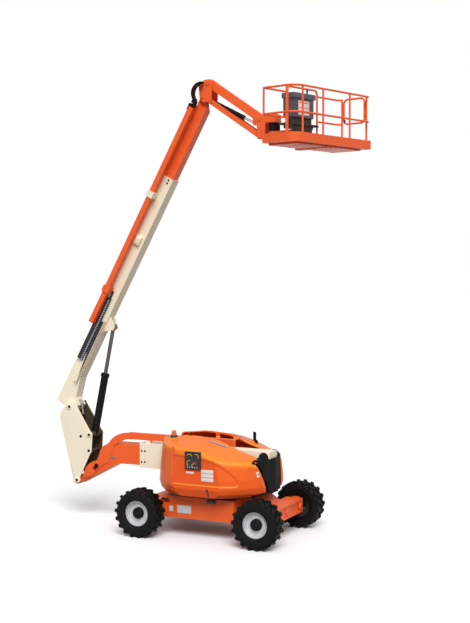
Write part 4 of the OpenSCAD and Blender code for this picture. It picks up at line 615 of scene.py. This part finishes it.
for x, z, r, first, sweep in DIALS:
    ray = Vector((cos(radians(first)), 0, sin(radians(first))))
    arc = [(r, DIAL_FOOT), (r, DIAL_RISE), (r + DIAL_W, DIAL_RISE), (r + DIAL_W, DIAL_FOOT)]
    turned(controls, arc, (low.x + x, face_y, low.z + z), (0, -1, 0), steps=14, finish=2,
           sweep=radians(sweep), start=ray)
turned(controls, KNOB_PROFILE, (low.x + KNOB_X, face_y, low.z + KNOB_Z), (0, -1, 0), steps=28, finish=3)
for k in range(TOGGLES):
    at = (low.x + TOGGLE_X + TOGGLE_STEP * k, face_y, low.z + TOGGLE_Z)
    turned(controls, TOGGLE_PROFILE, at, (0, -1, 0), steps=12, finish=4)
panel_piece = fasten("ground_controls", controls, [black_plastic, panel_face, yellow, red, silver],
                     "hood_near")
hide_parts("control_panel")

# Blank plates: thin white enamelled sheets, bare of print.
# They are bonded to the hood's side panel and nose, and riveted to the chassis side at their corners.
SIDE_Y, CHASSIS_Y, PLATE_T, PLATE_EASE = -1.0891, -0.7501, 0.004, 0.0012
HOOD_PLATES = ((0.104, 0.354, 1.172, 1.236), (0.104, 0.354, 1.246, 1.312), (0.104, 0.354, 1.322, 1.390),
               (-0.213, -0.048, 1.298, 1.336))
NOSE_PLATES = (((1.016, -0.607, 1.306), (1.033, -0.578, 1.3145), (0.857, -0.506, 0.096)),
               ((1.027, -0.599, 1.247), (1.044, -0.570, 1.2555), (0.865, -0.492, 0.09)))
NOSE_PLATE_LOW, NOSE_PLATE_HIGH = (-0.012, -0.020, -PLATE_T), (0.050, 0.020, PLATE_T)
CHASSIS_PLATES = ((-0.75, -0.67, 0.48, 0.58), (-0.58, -0.28, 0.46, 0.61))
RIVET_IN, RIVET_R = 0.012, 0.003
white = plastic("white_plate", (0.82, 0.82, 0.81), 0.42)
plates = bmesh.new()
for x0, x1, z0, z1 in HOOD_PLATES:
    slab(plates, (x0, SIDE_Y - PLATE_T, z0), (x1, SIDE_Y, z1), PLATE_EASE)
for origin, to, normal in NOSE_PLATES:
    slab(plates, NOSE_PLATE_LOW, NOSE_PLATE_HIGH, 0.001, place=seat(origin, to, normal))
fasten("hood_plates", plates, [white], "hood_near")
chassis_plates = bmesh.new()
for x0, x1, z0, z1 in CHASSIS_PLATES:
    slab(chassis_plates, (x0, CHASSIS_Y - PLATE_T, z0), (x1, CHASSIS_Y, z1), PLATE_EASE)
    for x in (x0 + RIVET_IN, x1 - RIVET_IN):
        for z in (z0 + RIVET_IN, z1 - RIVET_IN):
            bolt(chassis_plates, (x, CHASSIS_Y - PLATE_T, z), (0, -1, 0), RIVET_R)
fasten("chassis_plates", chassis_plates, [white], "chassis")

# Hood latch: a black rubber strap on the near hood and its bolted striker block on the chassis side.
# The strap pulls the door's foot in against its seal.
STRIKER_X, STRIKER_Z, STRIKER_OUT, STRIKER_BOLT = (0.068, 0.233), (0.70, 0.77), 0.045, 0.007
HOOK_X, HOOK_Z, HOOK_OUT, HOOK_LAP = (0.10, 0.20), (0.715, 0.755), 0.062, 0.043
BOLT_IN = 0.015
STRAP_TOP, STRAP_END, STRAP_FACE = (0.228, -1.100, 0.998), (0.248, -1.056, 0.873), (0, -0.945, -0.328)
STRAP_LOW, STRAP_HIGH = (0, -0.012, -0.004), (0.125, 0.012, 0.006)
ANCHOR_AT, ANCHOR_END, ANCHOR_FACE = (0.228, -1.100, 1.012), (0.229, -1.100, 1.0), (0, -1, 0)
ANCHOR_LOW, ANCHOR_HIGH = (-0.016, -0.020, -0.004), (0.022, 0.020, 0.011)
striker = bmesh.new()
slab(striker, (STRIKER_X[0], CHASSIS_Y - STRIKER_OUT, STRIKER_Z[0]),
     (STRIKER_X[1], CHASSIS_Y, STRIKER_Z[1]), 0.008)
slab(striker, (HOOK_X[0], CHASSIS_Y - HOOK_OUT, HOOK_Z[0]),
     (HOOK_X[1], CHASSIS_Y - HOOK_LAP, HOOK_Z[1]), 0.006)
for x in (STRIKER_X[0] + BOLT_IN, STRIKER_X[1] - BOLT_IN):
    bolt(striker, (x, CHASSIS_Y - STRIKER_OUT, sum(STRIKER_Z) / 2), (0, -1, 0), STRIKER_BOLT)
fasten("latch_striker", striker, [black_plastic], "chassis")
strap = bmesh.new()
slab(strap, STRAP_LOW, STRAP_HIGH, 0.003, place=seat(STRAP_TOP, STRAP_END, STRAP_FACE))
slab(strap, ANCHOR_LOW, ANCHOR_HIGH, 0.005, place=seat(ANCHOR_AT, ANCHOR_END, ANCHOR_FACE))
fasten("latch_strap", strap, [black_plastic], "hood_near")

# Chassis grab: a short handle of black plastic, moulded in one with its two feet.
# It is fixed high on the near side of the chassis, just ahead of the rear wheel.
GRAB_X, GRAB_Z, GRAB_OUT, GRAB_CLEAR = (-0.90, -0.76), (0.695, 0.732), 0.05, 0.03
FOOT_XS, FOOT_HALF, FOOT_Z, FOOT_OUT = (-0.885, -0.775), 0.012, (0.698, 0.729), 0.045
grab = bmesh.new()
slab(grab, (GRAB_X[0], CHASSIS_Y - GRAB_OUT, GRAB_Z[0]),
     (GRAB_X[1], CHASSIS_Y - GRAB_CLEAR, GRAB_Z[1]), 0.008)
for x in FOOT_XS:
    slab(grab, (x - FOOT_HALF, CHASSIS_Y - FOOT_OUT, FOOT_Z[0]), (x + FOOT_HALF, CHASSIS_Y, FOOT_Z[1]), 0.005)
fasten("chassis_grab", grab, [black_plastic], "chassis")

# Tower boom: a welded box section in cream enamel that the orange inner section slides in.
# Four bolts on each side hold the wear pads at its mouth.
TOWER_SIDE, TOWER_BOLT = 0.172, 0.013
TOWER_BOLTS = ((-1.684, 1.488), (-1.610, 1.487), (-1.685, 1.264), (-1.611, 1.269))
cream = enamel("cream_enamel", (0.96, 0.88, 0.69), (0.90, 0.79, 0.58), dust=0.05)
dress(cream, "tower_base")
pad_bolts = bmesh.new()
for x, z in TOWER_BOLTS:
    for side in (-1, 1):
        bolt(pad_bolts, (x, side * TOWER_SIDE, z), (0, side, 0), TOWER_BOLT)
fasten("tower_pad_bolts", pad_bolts, [black], "tower_base")

# Tower inner section: orange tube with the swept neck that carries the upright, and its levelling tube.
# Its curved plates are rolled and seam welded. A bare grey plate and a black pin cover sit on each side.
NECK_SIDE, NECK_X, NECK_Z, NECK_T = 0.152, (-2.425, -2.32), (1.274, 1.330), 0.002
COVER_AT, COVER_SIDE = (-2.743, 1.106), 0.172
COVER_PROFILE = [(0, 0.006), (0.040, 0.006), (0.050, 0.003), (0.052, -0.001)]
skin("tower_fly", "tower_fly", orange, 30)
grey_plate = plastic("grey_plate", (0.22, 0.22, 0.23))
neck = bmesh.new()
for side in (-1, 1):
    y = side * NECK_SIDE
    slab(neck, (NECK_X[0], y - NECK_T, NECK_Z[0]), (NECK_X[1], y + NECK_T, NECK_Z[1]), 0.001)
    cover_at = (COVER_AT[0], side * COVER_SIDE, COVER_AT[1])
    turned(neck, COVER_PROFILE, cover_at, (0, side, 0), steps=28, finish=1)
fasten("tower_neck_plates", neck, [grey_plate, black], "tower_fly")

# Upright: two cream side plates tied by pins, between the tower and the main boom.
# Bolted pin keepers show as dark heads on the plates, whose insides are painted dark brown as painted shade.
BETWEEN_PLATES, FACING_IN = 0.195, 0.9
PIN_KEEPERS = ((-3.341, 2.294, 0.238), (-2.870, 1.743, 0.238), (-3.076, 1.701, 0.222), (-2.888, 1.418, 0.222),
               (-3.167, 0.801, 0.238))
KEEPER_PROFILE = [(0, 0.014), (0.022, 0.013), (0.027, 0.008), (0.028, -0.001)]
upright = skin("upright", "upright", cream)
shaded_inside = enamel("cream_painted_shade", (0.085, 0.062, 0.034), (0.045, 0.034, 0.020), dust=0.1, rough=0.6, shine=0.15)
upright.data.materials.append(shaded_inside)
# Painted shade: faces between the plates and faces turned inward take the dark brown finish.
for face in upright.data.polygons:
    y, way = face.center.y, face.normal.y
    if abs(y) < BETWEEN_PLATES or (abs(way) > FACING_IN and way * y < 0):
        face.material_index = 1
keepers = bmesh.new()
for x, z, out in PIN_KEEPERS:
    for side in (-1, 1):
        turned(keepers, KEEPER_PROFILE, (x, side * out, z), (0, side, 0), steps=20)
fasten("upright_keepers", keepers, [black], "upright")

# Main boom: cream outer section, orange inner section and the black hose carrier along its side.
# The sections are folded and welded plate, and the lower guide of the hose tube is sprayed with the tube.
# The carrier's foot is sprayed with the boom.
BOOM_FOOT, BOOM_RISE, BOOM_HALF = (-3.3515, 0, 2.294), 61.4, 0.125
GUIDE_U, GUIDE_REACH, GUIDE_Y = 2.565, 0.08, -0.135
CARRIER_FOOT_U = 0.97
MOUTH_BOLTS, MOUTH_BOLT = ((5.075, 0.190), (5.010, 0.190)), 0.014
dress(orange, "main_fly")
boom_place = Matrix.Translation(BOOM_FOOT) @ Matrix.Rotation(radians(-BOOM_RISE), 4, "Y")
along_boom = boom_place.inverted()
outer = skin("main_base", "main_base", cream)
outer.modifiers.clear()
outer.data.polygons.foreach_set("use_smooth", [False] * len(outer.data.polygons))
outer.data.materials.append(orange)
for face in outer.data.polygons:
    at = along_boom @ face.center
    if at.y < GUIDE_Y and abs(at.x - GUIDE_U) < GUIDE_REACH:
        face.material_index = 1
carrier = skin("hose_carrier", "main_base", black_plastic)
carrier.data.materials.append(cream)
for face in carrier.data.polygons:
    if (along_boom @ face.center).x < CARRIER_FOOT_U:
        face.material_index = 1
mouth_bolts = bmesh.new()
for u, v in MOUTH_BOLTS:
    for side in (-1, 1):
        bolt(mouth_bolts, boom_place @ Vector((u, side * BOOM_HALF, v)), (0, side, 0), MOUTH_BOLT)
fasten("main_pad_bolts", mouth_bolts, [black], "main_base")

# Hose chain: the upper run of the moulded link chain that feeds the inner section's hoses.
# Its pale side plates snap on to the black links along the near side of the main boom's foot.
LINK, FIRST, LAST = 0.048, 0.98, 2.40
BED_Y, BED_V = (-0.186, -0.134), (0.205, 0.338)
PALE_START, PALE_STOP, PALE_Y, PALE_V = 0.010, 0.012, (-0.192, -0.180), (0.208, 0.246)
DARK_GAP, DARK_Y, DARK_V = 0.006, (-0.190, -0.180), (0.262, 0.332)
TONGUE_LAP, TONGUE_REACH, TONGUE_Y, TONGUE_V = 0.02, 0.16, (-0.160, -0.127), (0.225, 0.255)
chain = bmesh.new()
slab(chain, (FIRST, BED_Y[0], BED_V[0]), (LAST, BED_Y[1], BED_V[1]), 0.006, place=boom_place)
for k in range(int((LAST - FIRST) / LINK)):
    u = FIRST + k * LINK
    slab(chain, (u + PALE_START, PALE_Y[0], PALE_V[0]), (u + LINK - PALE_STOP, PALE_Y[1], PALE_V[1]), 0.003,
         finish=1, place=boom_place)
    slab(chain, (u + DARK_GAP, DARK_Y[0], DARK_V[0]), (u + LINK - DARK_GAP, DARK_Y[1], DARK_V[1]), 0.004,
         place=boom_place)
slab(chain, (LAST - TONGUE_LAP, TONGUE_Y[0], TONGUE_V[0]),
     (LAST + TONGUE_REACH, TONGUE_Y[1], TONGUE_V[1]), 0.006, place=boom_place)
fasten("hose_chain_run", chain, [black_plastic, pale], "main_base")

# Hose clamp block: a small cream casting on the near side of the main boom, half way up.
# Two bolts hold it and its cap to the boom's side plate.
CLAMP_LOW, CLAMP_HIGH = (3.63, -0.180, 0.155), (3.82, -0.124, 0.285)
CLAMP_CAP_LOW, CLAMP_CAP_HIGH = (3.66, -0.198, 0.180), (3.79, -0.176, 0.265)
CLAMP_BOLTS, CLAMP_BOLT = ((3.705, -0.198, 0.225), (3.765, -0.198, 0.225)), 0.009
clamp = bmesh.new()
slab(clamp, CLAMP_LOW, CLAMP_HIGH, 0.012, place=boom_place)
slab(clamp, CLAMP_CAP_LOW, CLAMP_CAP_HIGH, 0.008, place=boom_place)
for at in CLAMP_BOLTS:
    bolt(clamp, boom_place @ Vector(at), (0, -1, 0), CLAMP_BOLT)
fasten("boom_hose_clamp", clamp, [cream], "main_base")

# Hose guard: a curved black steel strip at the top of the orange hose tube.
# It keeps the hoses off the jib head where they turn over to the jib, and is bolted to the tube.
GUARD_AT, GUARD_START, GUARD_SWEEP = (-0.292, -0.24, 8.476), 214, 125
GUARD_IN, GUARD_OUT, GUARD_HALF = 0.180, 0.212, 0.065
STRIP = [(GUARD_IN, -GUARD_HALF), (GUARD_IN, GUARD_HALF), (GUARD_OUT, GUARD_HALF), (GUARD_OUT, -GUARD_HALF),
         (GUARD_IN, -GUARD_HALF)]
GUARD_FEET = (((6.48, -0.305, 0.389), (6.62, -0.175, 0.405), 0.004),
              ((6.555, -0.300, 0.300), (6.70, -0.180, 0.340), 0.008),
              ((6.64, -0.302, 0.330), (6.735, -0.178, 0.382), 0.008))
GUARD_BOLTS, GUARD_BOLT = ((6.50, -0.24, 0.405), (6.54, -0.24, 0.405)), 0.010
first_ray = (cos(radians(GUARD_START)), 0, sin(radians(GUARD_START)))
guard = bmesh.new()
turned(guard, STRIP, GUARD_AT, (0, 1, 0), steps=18, sweep=radians(GUARD_SWEEP), start=first_ray)
for low, high, ease in GUARD_FEET:
    slab(guard, low, high, ease, place=boom_place)
across_boom = boom_place.to_3x3() @ Vector((0, 0, 1))
for at in GUARD_BOLTS:
    bolt(guard, boom_place @ Vector(at), across_boom, GUARD_BOLT)
fasten("jib_hose_guard", guard, [black], "main_fly")

# Hydraulic cylinders: black enamelled barrels with hard-chromed rods, the lift rod given a much darker base
# colour.
# The lift rod leaves its barrel through a bolted gland.
LIFT_FOOT, LIFT_EYE = Vector((-2.873, 0, 1.746)), Vector((-2.4228, 0, 3.9346))
GLAND_PROFILE = [(0.0415, 1.268), (0.066, 1.268), (0.080, 1.258), (0.089, 1.250), (0.089, 1.200),
                 (0.080, 1.192), (0.0745, 1.190)]
GLAND_BOLTS, GLAND_RING, GLAND_FACE, GLAND_BOLT = 6, 0.062, 1.262, 0.007
chrome = bare_metal("chrome_rod", (0.62, 0.62, 0.63), 0.16, 0.95, 0.2)
darkened_rod = bare_metal("darkened_lift_rod", (0.11, 0.10, 0.095), 0.25, 0.8, 0.3)
dress(black, "tower_barrel", "lift_barrel", "master_barrel", "jib_barrel", "turn_actuator")
dress(chrome, "tower_rod", "master_rod", "jib_rod")
dress(darkened_rod, "lift_rod")
lift_way = (LIFT_EYE - LIFT_FOOT).normalized()
gland = bmesh.new()
turned(gland, GLAND_PROFILE, LIFT_FOOT, lift_way, steps=36)
for k in range(GLAND_BOLTS):
    spoke = Matrix.Rotation(k * 2 * pi / GLAND_BOLTS, 3, lift_way) @ Vector((0, 1, 0))
    bolt(gland, LIFT_FOOT + lift_way * GLAND_FACE + spoke * GLAND_RING, lift_way, GLAND_BOLT)
fasten("lift_gland", gland, [black], "lift_barrel")

# Jib: a pair of orange links and box beams that keep the platform level.
# Head and bracket are welded from flame-cut plate.
dress(orange, "jib_head", "jib_boom", "jib_links", "jib_bracket", "platform_mount")

# Platform: an orange pressed steel floor with toe boards, bent tube rails and a swinging gate.
# It is welded up and sprayed as one, with a tray over the ribs below and a black latch on the gate.
PLATFORM_TURN, TRAY_X, TRAY_HALF, TRAY_Z = 16.34, (0.655, 1.298), 0.945, (0.002, 0.031)
LATCH_LOW, LATCH_HIGH = (2.19, 0.806, 7.895), (2.226, 0.846, 7.95)
dress(orange, "platform_floor", "platform_rails", "gate")
turn_low, turn_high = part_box("turn_actuator")
platform_foot = ((turn_low.x + turn_high.x) / 2, 0, turn_low.z)
platform_place = Matrix.Translation(platform_foot) @ Matrix.Rotation(radians(-PLATFORM_TURN), 4, "Z")
ribs_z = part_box("platform_floor")[0].z - turn_low.z
tray = bmesh.new()
slab(tray, (TRAY_X[0], -TRAY_HALF, ribs_z + TRAY_Z[0]), (TRAY_X[1], TRAY_HALF, ribs_z + TRAY_Z[1]), 0.010,
     place=platform_place)
fasten("floor_tray", tray, [orange], "platform")
latch = bmesh.new()
slab(latch, LATCH_LOW, LATCH_HIGH, 0.006)
fasten("gate_latch", latch, [black_plastic], "gate")

# Platform controls: a grey moulded pedestal with black foot and top, bolted to the platform at the jib side.
# A white plate with two plain orange bars is bonded to its face.
BLACK_BELOW, BLACK_ABOVE, EDGE_EASE, EDGE_ANGLE = 0.197, 0.652, 0.008, 50
PLATE_LOW, PLATE_HIGH = (0.7005, -0.16, 0.245), (0.7055, 0.16, 0.505)
PLATE_BARS = (((0.705, -0.14, 0.46), (0.7065, 0.14, 0.485)), ((0.705, -0.14, 0.375), (0.7065, 0.14, 0.39)))
grey = plastic("console_grey", (0.085, 0.085, 0.115), 0.42)
console = skin("console", "platform", grey, 30)
eased = console.modifiers.new("eased_edges", "BEVEL")
eased.width, eased.segments = EDGE_EASE, 2
eased.limit_method, eased.angle_limit = "ANGLE", radians(EDGE_ANGLE)
console.data.materials.append(black_plastic)
for face in console.data.polygons:
    if not turn_low.z + BLACK_BELOW <= face.center.z <= turn_low.z + BLACK_ABOVE:
        face.material_index = 1
console_plate = bmesh.new()
slab(console_plate, PLATE_LOW, PLATE_HIGH, 0.0015, place=platform_place)
for low, high in PLATE_BARS:
    slab(console_plate, low, high, 0.0005, finish=1, place=platform_place)
fasten("console_plate", console_plate, [white, orange], "platform")
